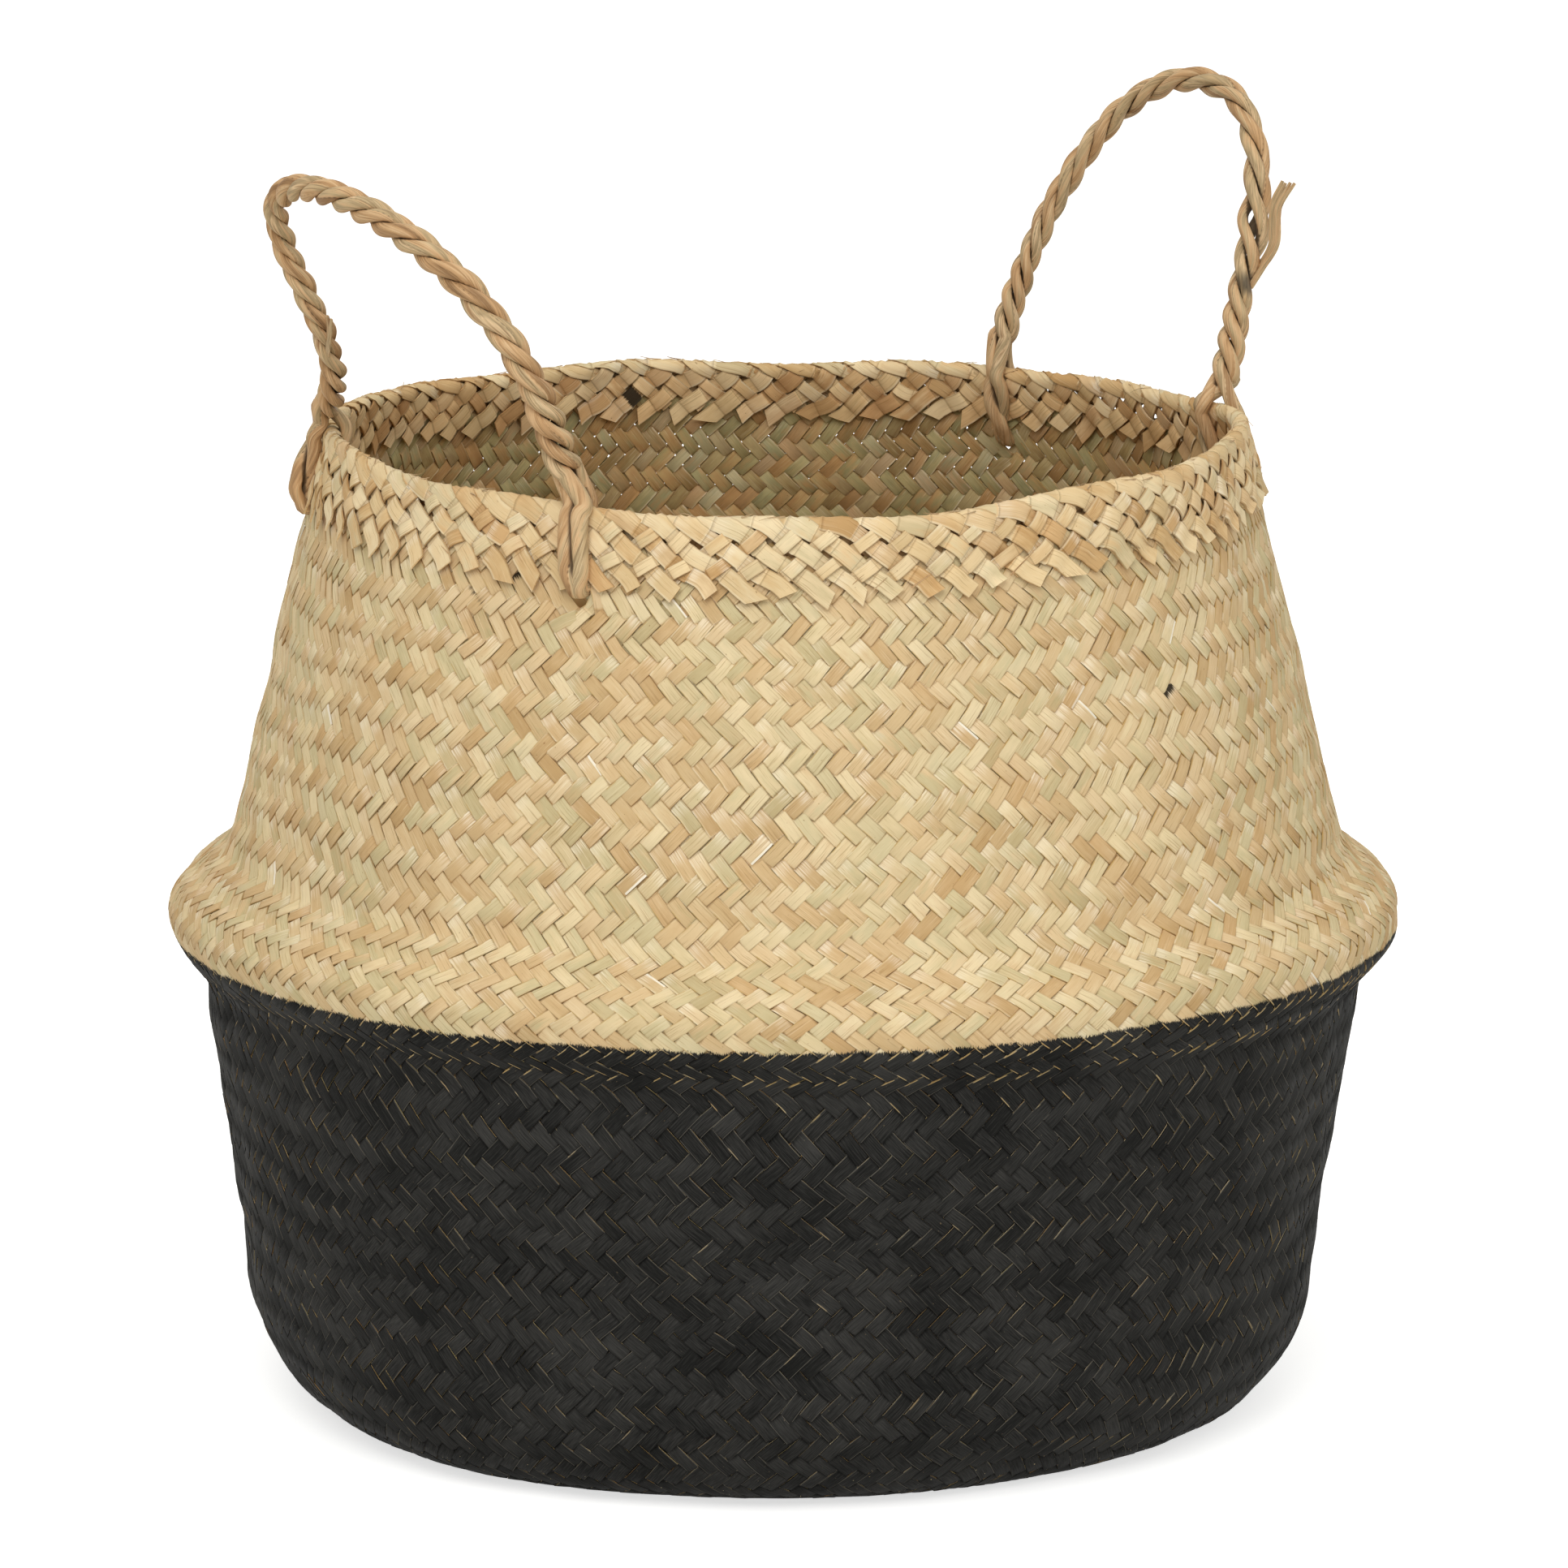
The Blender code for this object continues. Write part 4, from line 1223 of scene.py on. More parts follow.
# %% How the strips of the hem vary
HEM_PLACES = np.array([-0.42, -0.2, 0.0, 0.2, 0.42, 0.5])
HEM_LIFTS = np.array([0.55, 0.92, 1.0, 0.92, 0.55, 0.0])
HEM_SECTION = (
    (-1, 0.5, 0), (-0.5, 0.5, 0.75), (0, 0.5, 1), (0.5, 0.5, 0.75), (1, 0.5, 0),
    (1, -0.5, 0), (0.5, -0.5, 0), (0, -0.5, 0), (-0.5, -0.5, 0), (-1, -0.5, 0),
)
HEM_PARTS = 4
TIP_STEEPER = 0.7
HEM_SLIDE = 0.5 * MM
HEM_TILT = 0.14 * MM
CREST_LAP = 0.45 * MM
CREST_LAP_REACH = 4 * MM
CREST_TWIST = 0.95
CREST_TWIST_REACH = 0.8
WIDTH_TURN = (-5 * MM, 7 * MM)
TIP_SLANT = 0.9
# A tip's length in levels and how far it stands up, outside and inside
TIP_LONG = (0.85, 1.5)
TIP_RAISED = (0.2, 1.2)
INNER_TIP_LONG = (0.6, 1.0)
INNER_TIP_RAISED = (0.1, 1.0)
HEM_WIDTH_SPREAD = 0.06
HEM_WIDTH_LIMITS = (-1.8, 1.2)
HEM_TONE_SPREAD = 0.08
HEM_FIBRE_LONGER = 1.5
CREST_NUMBER = CREST_LEVEL + CREST_TO_FIRST / HEM_LEVEL
INNER_SCORCH = (math.radians(-160), 305 * MM, 2.4 * MM)
OUTER_END = 6.3
INNER_START = 5.4
print(f"{len(HEM_LEVELS)} levels of the hem, the crest at level {CREST_NUMBER:.1f}")


# %% Stations of a strip of the hem
def hem_course(lean, draw, inside):
    """Level numbers, lifts and float numbers along one strip of the hem."""
    levels = np.arange(len(HEM_LEVELS))
    over = -lean * LEFT_OVER
    lift = over[:, None] * HEM_LIFTS[None, :]
    lift[:, -1] = (over + np.append(over[1:], -over[-1])) / 2
    number = (levels[:, None] + HEM_PLACES[None, :]).ravel()
    lift = lift.ravel() * HEM_SWING
    floats = np.repeat(levels, len(HEM_PLACES))
    keep = number > INNER_START if inside else number < OUTER_END - 0.5 * (lean > 0)
    number, lift, floats = number[keep], lift[keep], floats[keep]
    end = np.tile(HEM_PLACES * 2, len(levels))[keep]
    if not inside and lean < 0:
        tip = draw.uniform(*TIP_LONG)
        raised = draw.uniform(*TIP_RAISED)
        number = np.concatenate([[-tip, -0.5 - tip / 4], number])
        lift = np.concatenate([[HEM_SWING * (1 + raised), HEM_SWING], lift])
        floats = np.concatenate([[0, 0], floats])
        end = np.concatenate([[0, 0], end])
    if inside and lean > 0:
        tip = draw.uniform(*INNER_TIP_LONG)
        raised = draw.uniform(*INNER_TIP_RAISED)
        number = np.concatenate([number, number[-1] + np.array([tip / 2, tip])])
        lift = np.concatenate([lift, [HEM_SWING, HEM_SWING * (1 + raised)]])
        floats = np.concatenate([floats, [floats[-1]] * 2])
        end = np.concatenate([end, [0, 0]])
    return number, lift, floats, end


def hem_half(lean, s):
    """Half a hem strip's width: wide where it runs to a tip, narrow where it holds others."""
    turned = ramp(s - HEM_CREST, *WIDTH_TURN)
    holding = turned if lean < 0 else 1 - turned
    return between(HEM_WIDTH, HEM_CROSS_WIDTH, holding) / 2


def hem_scorch(lean, inside, angle, height, radius):
    """How burnt a place of the hem is. The inner band has one round spot of its own."""
    if not inside:
        return scorch_at(lean, angle, height, radius)
    turn, level, reach = INNER_SCORCH
    away = np.hypot(turn_between(angle, FRONT + turn) * radius, height - level)
    return np.clip(MOST_BURNT - away / reach, 0, MOST_BURNT)


def slant_tip(points, lean, inside, slant):
    """Cuts a strip's free end at a slant, low outside or low inside."""
    cut = np.array([part[0] for part in HEM_SECTION])[:, None] * slant
    if not inside and lean < 0:
        points[0] += (points[0] - points[1]) * cut
    if inside and lean > 0:
        points[-1] += (points[-1] - points[-2]) * cut


# %% One strip of the hem
def hem_strip(lean, strip, inside):
    """One strip of the hem's outer band, with the crest, or of its inner band."""
    draw = dice(f"hem {lean} {strip} {inside}")
    number, lift, floats, end = hem_course(lean, draw, inside)
    count = len(HEM_LEVELS) + 1

    def per_float(values):
        return values[floats]

    s = HEM_LEVELS[0] + number * HEM_LEVEL
    turning = np.where(number < 0, number * TIP_STEEPER, number)
    twist = CREST_TWIST * np.tanh((number - CREST_NUMBER) / CREST_TWIST_REACH)
    angle = (2 * strip + lean * turning - twist) * math.pi / HEM_STRIPS
    height = HEM_LINE.read(HEM_LINE.height, s)
    radius = HEM_LINE.read(HEM_LINE.radius, s)
    angle = angle + HEM_SLIDE * slides.at(angle, height) / radius
    s = s + HEM_SLIDE * climbs.at(angle, height)
    wide = 1 + HEM_WIDTH_SPREAD * per_float(draw.normal(0, 1, count).clip(*HEM_WIDTH_LIMITS))
    half = hem_half(lean, s) * wide
    slant = draw.uniform(-TIP_SLANT, TIP_SLANT)
    tilt = per_float(draw.normal(0, 1, count)) * HEM_TILT
    if lean < 0:
        near_crest = np.exp(-((s - HEM_CREST) / CREST_LAP_REACH) ** 2)
        tilt = tilt * (1 - near_crest) + CREST_LAP * near_crest
    points = lay_strip(HEM_LINE, HEM_SECTION, angle, s, lift + WALL_MIDDLE, half,
                       HEM_THICK, HEM_CROWN, tilt)
    slant_tip(points, lean, inside, slant)
    scorch = hem_scorch(lean, inside, angle, height, radius)
    tone = draw.uniform(0, 1) + HEM_TONE_SPREAD * per_float(draw.normal(0, 1, count))
    float_tone = per_float(draw.uniform(0, 1, count))
    pale = per_float(draw.uniform(0, 1, count))
    label = 6 * STRIPS + strip + HEM_STRIPS * (lean < 0) + 2 * HEM_STRIPS * inside
    along = s * HEM_FIBRE_LONGER
    fibre, marks, rest, spot = describe(points, HEM_SECTION, half, along, label, tone,
                                        float_tone, scorch, end, pale)
    if inside:
        # Both faces of the inner band have the tones of the basket's inside
        rest = rest * np.array([1, 1, 0])
    return points, (fibre, marks, rest, spot)


# %% All strips of the hem
for inside, label, material in ((False, "outer", hem_sedge), (True, "inner", inner_sedge)):
    share = HEM_STRIPS // HEM_PARTS
    for part in range(HEM_PARTS):
        bundle = Bundle(f"hem_{label}_{part + 1}")
        for lean in (1, -1):
            for strip in range(part * share, (part + 1) * share):
                bundle.add(*hem_strip(lean, strip, inside))
        piece = bundle.make(material)
        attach(piece, "top")
        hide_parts("hem_" + label)
print(f"hem: {2 * HEM_STRIPS} strips outside and as many inside")

# %% [markdown]
# The strands of the rope are sedge too, twisted and not flat, a shade darker from
# handling, with deep lines between the leaves that each strand is made of. Painted shade
# darkens these lines and the grooves where a strand faces the rope's middle. The fibres
# are drawn round the strand by sine and cosine of the turn, so that no seam shows.

# %% Twisted sedge
ROPE_TONES = ("#9A7650", "#B48D62", "#C69D6F", "#D8B285", "#CAAE83", "#AE9670", "#E2C398", "#A8835B")
ROPE_FIBRE = (0.17, 0.17, 14 * MM)
ROPE_PATCH = (1.2, 1.2, 18 * MM)
ROPE_VEIN = "#6B4A28"
ROPE_FIBRE_PALE = "#EBD5AC"
# Painted shade in the creases between leaves and in the grooves between strands
ROPE_GROOVE_SHADE = "#35220F"
ROPE_STAIN = "#3A352D"
ROPE_ROUGHNESS = 0.62
ROPE_SHINE = 0.3


def twisted_sedge(name):
    """The rope's material: streaks along the strand, painted shade in creases and grooves, and one dark
    stain.
    """
    material = bpy.data.materials.new(name)
    material.use_nodes = True
    tree = material.node_tree
    shader = tree.nodes["Principled BSDF"]
    fibre = read_note(tree, "fibre")[0]
    _, tone, crease, stain = read_note(tree, "marks")
    strand = read_note(tree, "rest")[1]
    apart = add(tree, "CombineXYZ", {0: strand, 1: strand, 2: 0.0})
    where = add(tree, "VectorMath", {0: fibre, 1: apart}, operation="ADD")
    streaks = grain(tree, where, ROPE_FIBRE, 5.0, 0.65)
    patches = grain(tree, where, ROPE_PATCH, 2.0)
    shift = add(tree, "MapRange", {0: patches, 1: 0.3, 2: 0.7, 3: -0.3, 4: 0.3})
    shade = add(tree, "Math", {0: tone, 1: shift}, operation="ADD", use_clamp=True)
    colour = palette(tree, shade, ROPE_TONES)
    veins = add(tree, "MapRange", {0: streaks, 1: 0.52, 2: 0.66}, interpolation_type="SMOOTHSTEP")
    colour = lay_over(tree, colour, linear(ROPE_VEIN), veins, 0.6)
    glow = add(tree, "MapRange", {0: streaks, 1: 0.46, 2: 0.32}, interpolation_type="SMOOTHSTEP")
    colour = lay_over(tree, colour, linear(ROPE_FIBRE_PALE), glow, 0.5)
    # Painted shade between the leaves and in the grooves between strands
    groove_shade = add(tree, "MapRange", {0: crease, 1: 0.5, 2: 0.0}, interpolation_type="SMOOTHSTEP")
    colour = lay_over(tree, colour, linear(ROPE_GROOVE_SHADE), groove_shade, 0.85)
    dark = add(tree, "Math", {0: stain, 1: shift}, operation="ADD")
    dark = add(tree, "MapRange", {0: dark, 1: 0.3, 2: 0.8})
    colour = lay_over(tree, colour, linear(ROPE_STAIN), dark, 0.8)
    tree.links.new(colour, shader.inputs["Base Color"])
    shader.inputs["Roughness"].default_value = ROPE_ROUGHNESS
    shader.inputs["IOR"].default_value = SEDGE_IOR
    shader.inputs["Specular IOR Level"].default_value = ROPE_SHINE
    bump = add(tree, "Bump", {"Strength": 0.8, "Distance": 0.3 * MM, "Height": streaks})
    tree.links.new(bump, shader.inputs["Normal"])
    return material


rope_sedge = twisted_sedge("twisted_sedge_rope")
print("rope material:", rope_sedge.name)

# %% [markdown]
# Each strand is itself a few leaves twisted together the other way, so its surface is a
# set of rounded ridges with sharp creases between them. A strand is a tube along a path,
# and a loose leaf is a thin flat ribbon along a path. Both keep the same notes.

# %% Strands and leaves
STRAND_SIDES = 24
STRAND_LEAVES = 3
LEAF_TWIST = 44 * MM
CREASE_DEPTH = 0.13
SWELL_LONG = 11 * MM
SWELL_SHORT = 4.3 * MM
SMOOTH_STEPS = 12
# How softly the painted groove shade fades towards the open side
GROOVE_SOFTNESS = 0.75


def smooth_line(knots, step):
    """Points at even steps on a smooth curve through the knots, and their distances."""
    knots = np.asarray(knots, float)
    ends = np.concatenate([[2 * knots[0] - knots[1]], knots, [2 * knots[-1] - knots[-2]]])
    t = np.linspace(0, 1, SMOOTH_STEPS, endpoint=False)[:, None]
    fine = []
    for k in range(len(knots) - 1):
        p0, p1, p2, p3 = ends[k:k + 4]
        bend = (3 * p1 - p0 - 3 * p2 + p3) * t ** 3 + (2 * p0 - 5 * p1 + 4 * p2 - p3) * t ** 2
        fine.append((bend + (p2 - p0) * t) / 2 + p1)
    fine = np.concatenate(fine + [knots[-1:]])
    length = np.concatenate([[0], np.cumsum(np.linalg.norm(np.diff(fine, axis=0), axis=1))])
    count = max(int(round(length[-1] / step)), 3)
    even = np.linspace(0, length[-1], count + 1)
    return np.stack([np.interp(even, length, fine[:, axis]) for axis in range(3)], 1), even


def carried_sides(path):
    """Two directions across a path that turn no more than the path does."""
    tangent = np.gradient(path, axis=0)
    tangent /= np.linalg.norm(tangent, axis=1)[:, None]
    side = np.cross(tangent[0], [0.3, 0.5, 0.8])
    sides = []
    for direction in tangent:
        side = side - direction * np.dot(side, direction)
        side /= np.linalg.norm(side)
        sides.append(side)
    sides = np.array(sides)
    return sides, np.cross(tangent, sides)


def tube_notes(points, cosine, sine, length, tone, crease, stain, seed):
    """What the rope's material reads at each point of a strand or a leaf."""
    shape = points.shape[:2]

    def spread(values):
        return np.broadcast_to(values, shape)

    fibre = np.stack([spread(cosine), spread(sine), spread(length[:, None])], -1)
    marks = np.stack([spread(tone), spread(crease), spread(stain)], -1)
    rest = np.stack([spread(seed), points[..., 2], spread(1.0)], -1)
    spot = np.zeros(points.shape)
    return fibre, marks, rest, spot


def in_groove(path, first, second, around, middle):
    """Where the painted groove shade falls: 0 in the groove that faces the rope's middle line, 1 on the open
    side.
    """
    nearest = middle[np.linalg.norm(path[:, None, :] - middle[None, :, :3], axis=2).argmin(1)]
    away = path - nearest[:, :3]
    away /= np.linalg.norm(away, axis=1)[:, None] + 0.01 * MM
    along_first = (first * away).sum(1)[:, None] * np.cos(around)
    along_second = (second * away).sum(1)[:, None] * np.sin(around)
    return np.clip((along_first + along_second + nearest[:, 3:]) / GROOVE_SOFTNESS, 0, 1)


def strand_rings(path, length, radius, middle, draw, seed, stain=None):
    """Rings round a path, with the ridges of the leaves that the strand is twisted of.

    middle is the rope's own middle line, with how narrow the painted shade in its grooves
    is there as its fourth column.
    """
    first, second = carried_sides(path)
    around = 2 * np.pi * np.arange(STRAND_SIDES) / STRAND_SIDES
    twisted = around[None, :] - 2 * np.pi * length[:, None] / LEAF_TWIST
    turn = (twisted + draw.uniform(0, 6)) / (2 * np.pi)
    uneven_turn = STRAND_LEAVES * turn + 0.3 * np.sin(2 * np.pi * turn + draw.uniform(0, 6))
    leaf = np.floor(uneven_turn).astype(int) % STRAND_LEAVES
    bulge = 1 - (2 * (uneven_turn % 1) - 1) ** 2
    swell = 0.06 * np.cos(length / SWELL_LONG + draw.uniform(0, 6))
    swell = swell + 0.04 * np.cos(length / SWELL_SHORT + draw.uniform(0, 6))
    size = radius[:, None] * (1 + CREASE_DEPTH * (bulge ** 0.6 - 0.75) + swell[:, None])
    points = path[:, None, :] + first[:, None, :] * (size * np.cos(around))[..., None]
    points = points + second[:, None, :] * (size * np.sin(around))[..., None]
    # crease is painted shade: dark between the leaves and in the groove that faces the rope's middle
    crease = np.minimum(bulge ** 0.4, in_groove(path, first, second, around, middle))
    tone = draw.uniform(0.35, 0.65) + draw.uniform(-0.3, 0.3, STRAND_LEAVES)[leaf]
    stain = np.zeros((len(path), 1)) if stain is None else stain[:, None]
    angle = 2 * np.pi * turn
    return points, tube_notes(points, np.cos(angle), np.sin(angle), length, tone, crease, stain, seed)


def leaf_rings(path, length, width, thick, face, draw, seed):
    """Rings of a flat leaf along a path. face is the direction that its flat side looks."""
    tangent = np.gradient(path, axis=0)
    across = np.cross(tangent, face)
    across /= np.linalg.norm(across, axis=1)[:, None]
    normal = np.cross(across, tangent)
    normal /= np.linalg.norm(normal, axis=1)[:, None]
    points = []
    for edge, deep, bulge in SECTION:
        raised = deep + 0.5 * bulge
        points.append(path + across * (edge * width / 2)[:, None] + normal * raised * thick)
    points = np.stack(points, 1)
    tone = draw.uniform(0.3, 1.0)
    edges = np.array([part[0] for part in SECTION])
    return points, tube_notes(points, edges[None, :], 0.0, length, tone, 1.0, 0.0, seed)


# %% [markdown]
# The rope. Three strands are laid together, with the lay of the middle stroke of an S.
# The lay is tighter on one limb than on the other. At each foot the strands part at the
# crest: two go down one side of the hem, still laid round each other, and one goes down
# the other side, and they meet in the hole of the wall. So each strand is one long tube
# from hole to hole.

# %% Sizes of the rope and its feet
STRAND_RADIUS = 2.2 * MM
LAY_RADIUS = 2.55 * MM
PARTING = 2 * MM
LAY_STEP = 1.5 * MM
OUTSIDE_LEG = 4.7 * MM
INSIDE_LEG = 5.2 * MM
PAIR_ACROSS = 2.25 * MM
FOOT_PITCH = 25 * MM
FOOT_THICKER = 0.22
PAIR_CLOSE = 0.35
# For each foot: is the pair outside, its turn and pitch, how far it swings off the wall, how
# far the single strand bows along the rim, and how far the lay still turns as it parts
Foot = namedtuple("Foot", "pair_outside phase pitch swing bow ahead")
FEET = {
    ("left", -1): Foot(True, math.radians(-162), 46 * MM, 2.2 * MM, 0, 0),
    ("left", 1): Foot(True, math.radians(-25), 190 * MM, 0.5 * MM, 0, 0),
    ("right", -1): Foot(False, math.radians(60), 44 * MM, 1.0 * MM, -6 * MM, math.radians(85)),
    ("right", 1): Foot(False, math.radians(20), 36 * MM, 1.2 * MM, 0, 0),
}
# Leg from the hole up: height above the hole, share of the distance from the wall
LEG_SHARES = ((0.4 * MM, -0.3), (-0.9 * MM, 0.25), (0.8 * MM, 0.62))
RIM_ASIDE = 0.5
print("pairs outside the wall:", [key for key, foot in FEET.items() if foot.pair_outside])


# %% Legs of the strands, from the hole up to the rim
def beside_wall(angle, off, sideways, z):
    """A point off the wall's outer face at a foot, moved sideways along the wall."""
    across = np.array([-math.sin(angle), math.cos(angle), 0])
    return uneven(angle, float(wall_radius(np.array(z))) + off, z) + across * sideways


def leg(handle, side, outside, paired, phase, pitch, swing, bow=0):
    """Knots of a strand from the hole up to the rim. phase is its place in a laid pair."""
    angle = handle.turn + side * handle.foot_turn
    off = OUTSIDE_LEG if outside else -INSIDE_LEG
    aside = FOOT_HOLES[(handle.name, side)][0]
    start = aside + PAIR_CLOSE * PAIR_ACROSS * math.cos(phase) * paired
    knots = [beside_wall(angle, off * share, start, HOLE_HEIGHT + up) for up, share in LEG_SHARES]
    for z in np.linspace(HOLE_HEIGHT + 5 * MM, RIM_HEIGHT - 3 * MM, 6):
        turn = phase + 2 * math.pi * (z - HOLE_HEIGHT) / pitch
        higher = (z - HOLE_HEIGHT) / (RIM_HEIGHT - HOLE_HEIGHT)
        sideways = aside * between(1, RIM_ASIDE, higher) + bow * math.sin(0.7 * math.pi * higher)
        sideways += PAIR_ACROSS * math.cos(turn) * paired
        near = between(0.85, 1, ramp(higher, 0.2, 0.6))
        knots.append(beside_wall(angle, near * off + swing * math.sin(turn) * paired, sideways, z))
    knots.append(beside_wall(angle, off * 0.78, sideways, RIM_HEIGHT + MM))
    return knots


# %% Strands laid round each other along the arch
def lay_strands(handle, low_pitch, high_pitch, spin, thickness, loose):
    """Paths of the three laid strands between the partings, and the rope's middle line.

    bound_for are the same paths, turned on at both ends as far as the lay still turns
    while the strands part: the legs are matched with these.
    """
    knots = [handle.at(a * handle.half_chord, h * handle.height) for a, h in handle.arch]
    arch, length = smooth_line(knots, MM)
    tangent = np.gradient(arch, axis=0)
    tangent /= np.linalg.norm(tangent, axis=1)[:, None]
    second = np.cross(tangent, np.broadcast_to(handle.face, arch.shape))
    at = np.arange(PARTING, length[-1] - PARTING, LAY_STEP)
    share = at / length[-1]
    near_foot = ramp(abs(share - 0.5), 0.26, 0.42)
    pitch = between(between(low_pitch, high_pitch, ramp(share, 0.25, 0.75)), FOOT_PITCH, near_foot)
    spin = spin - np.cumsum(2 * math.pi * LAY_STEP / pitch)
    centre = np.stack([np.interp(at, length, arch[:, axis]) for axis in range(3)], 1)
    other = np.stack([np.interp(at, length, second[:, axis]) for axis in range(3)], 1)
    ahead = 0 * share
    ahead[0] = FEET[(handle.name, -1)].ahead
    ahead[-1] = -FEET[(handle.name, 1)].ahead
    paths, bound_for = [], []
    for strand in range(3):
        turn = spin + strand * 2 * math.pi / 3
        wide = LAY_RADIUS * thickness(share) * (1 + loose(share, strand))
        for way, lines in ((turn, paths), (turn + ahead, bound_for)):
            on_face = handle.face * (wide * np.cos(way))[:, None]
            beside = other * (wide * np.sin(way))[:, None]
            lines.append(centre + (on_face + beside))
    return paths, bound_for, centre


# %% Which leg goes on to which strand
ORDERS = tuple(itertools.permutations(range(3)))


def nearest_legs(paths, legs, at_start):
    """The three legs in the order that brings each nearest to where a strand is bound."""
    ends = [path[0 if at_start else -1] for path in paths]

    def cost(order):
        return sum(np.linalg.norm(legs[order[k]][-1] - ends[k]) for k in range(3))

    best = min(ORDERS, key=cost)
    return [legs[best[k]] for k in range(3)]


def foot_legs(handle, side):
    """The three legs of a foot: a laid pair on one side of the hem, one on the other."""
    foot = FEET[(handle.name, side)]
    legs = []
    for turn in (0, math.pi):
        legs.append(leg(handle, side, foot.pair_outside, 1, foot.phase + turn, foot.pitch, foot.swing))
    single = leg(handle, side, not foot.pair_outside, 0, foot.phase, foot.pitch, foot.swing, foot.bow)
    return legs + [single]


def pair_middle(handle, side):
    """The line that the laid pair of a foot turns round."""
    outside = FEET[(handle.name, side)].pair_outside
    return smooth_line(leg(handle, side, outside, 0, 0, MM, 0), MM)[0]


def with_groove(line, narrow):
    """A middle line with how narrow the painted groove shade is along it, as a fourth column."""
    return np.column_stack([line, np.full(len(line), narrow)])


# %% Ropes of the two handles
ROPE_STEP = 0.9 * MM
LOOSE_ZONE = (0.215, 0.045)
# How narrow the painted groove shade is along the lay and round a foot's pair
LAY_GROOVE = 0.6
PAIR_GROOVE = 0.8


def settled(share, strand):
    """Small swelling of the lay along a well laid rope."""
    return 0.05 * np.cos(share * 37 + strand * 2)


def loosened(share, strand):
    """The lay stands open in one stretch, above the frayed end."""
    middle, reach = LOOSE_ZONE
    opened = np.exp(-((share - middle) / reach) ** 2)
    return settled(share, strand) + opened * (0.75, 0.6, 0.15)[strand]


def stain_near(path, place, reach):
    """How dark the stain round a place is along a path, from 0 to 1."""
    return np.clip(1.4 - np.linalg.norm(path - place, axis=1) / reach, 0, 1)


def handle_rope(handle, low_pitch, high_pitch, spin, sizes, loose, stained):
    """The three strands of a handle, each a piece of its own."""

    def thickness(share):
        foot = ramp(abs(share - 0.5), 0.36, 0.44)
        return between(sizes[0], sizes[1], ramp(share, 0.3, 0.7)) * (1 + FOOT_THICKER * foot)

    paths, bound_for, middle = lay_strands(handle, low_pitch, high_pitch, spin, thickness, loose)
    pairs = [with_groove(pair_middle(handle, side), PAIR_GROOVE) for side in (-1, 1)]
    middle = np.concatenate([with_groove(middle, LAY_GROOVE)] + pairs)
    low_legs = nearest_legs(bound_for, foot_legs(handle, -1), True)
    high_legs = nearest_legs(bound_for, foot_legs(handle, 1), False)
    for strand in range(3):
        draw = dice(f"{handle.name} strand {strand}")
        knots = list(low_legs[strand]) + list(paths[strand]) + list(high_legs[strand])[::-1]
        path, length = smooth_line(knots, ROPE_STEP)
        radius = STRAND_RADIUS * thickness(length / length[-1])
        stain = stain_near(path, stained[0], stained[1]) if stained else None
        bundle = Bundle(f"{handle.name}_rope_strand_{strand + 1}")
        bundle.add(*strand_rings(path, length, radius, middle, draw, 3.0 * strand + handle.turn, stain))
        piece = bundle.make(rope_sedge)
        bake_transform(piece)
        feet = [f"{handle.name}_{foot}_{kind}" for foot in ("front", "back") for kind in ("bight", "end")]
        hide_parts(handle.name + "_grip", *feet)
    print(f"{handle.name} rope: strands {1000 * length[-1]:.0f} mm long")


STAIN_HEIGHT = 35 * MM
stain_place = RIGHT.at(RIGHT.limb(-1, STAIN_HEIGHT) - 2 * MM, STAIN_HEIGHT, 1.5 * MM)
dark_patch = (stain_place, 4.2 * MM)
handle_rope(LEFT, 25 * MM, 34 * MM, math.radians(60), (0.86, 1.04), settled, None)
handle_rope(RIGHT, 42 * MM, 33 * MM, math.radians(120), (0.92, 0.88), loosened, dark_patch)

# %% [markdown]
# Loose ends. The left handle has a stub where an end was laid back into the rope, and
# the right one has a longer frayed tail that stands off it and splays at its tip. Both
# are a few leaves that lie together and part at the end.

# %% Loose ends of rope
LEAF_THICK = 0.45 * MM
LEAF_STEP = 0.8 * MM
LEAF_SHAKE = 0.25
LEAF_APART = 0.6 * MM


def loose_end(name, handle, side, marks, leaves, width, splay, node):
    """Leaves along a given line beside a limb: off the limb, height, out of plane."""
    draw = dice(name)
    bundle = Bundle(name)
    for number in range(leaves):
        fan = number - (leaves - 1) / 2
        knots = []
        for index, (off, up, out) in enumerate(marks):
            share = index / (len(marks) - 1)
            spread = fan * (0.5 * width + splay * share ** 2.5)
            shake = draw.normal(0, LEAF_SHAKE, 3) * MM * share
            beside = handle.limb(side, up) + off + spread
            knots.append(handle.at(beside, up, out + fan * LEAF_APART) + shake)
        path, length = smooth_line(knots, LEAF_STEP)
        share = length / length[-1]
        wide = width * (1 - 0.55 * share ** 3) * draw.uniform(0.8, 1.2)
        bundle.add(*leaf_rings(path, length, wide, LEAF_THICK, handle.face, draw, 40.0 + number))
    piece = bundle.make(rope_sedge)
    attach(piece, handle.body)
    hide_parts(node)


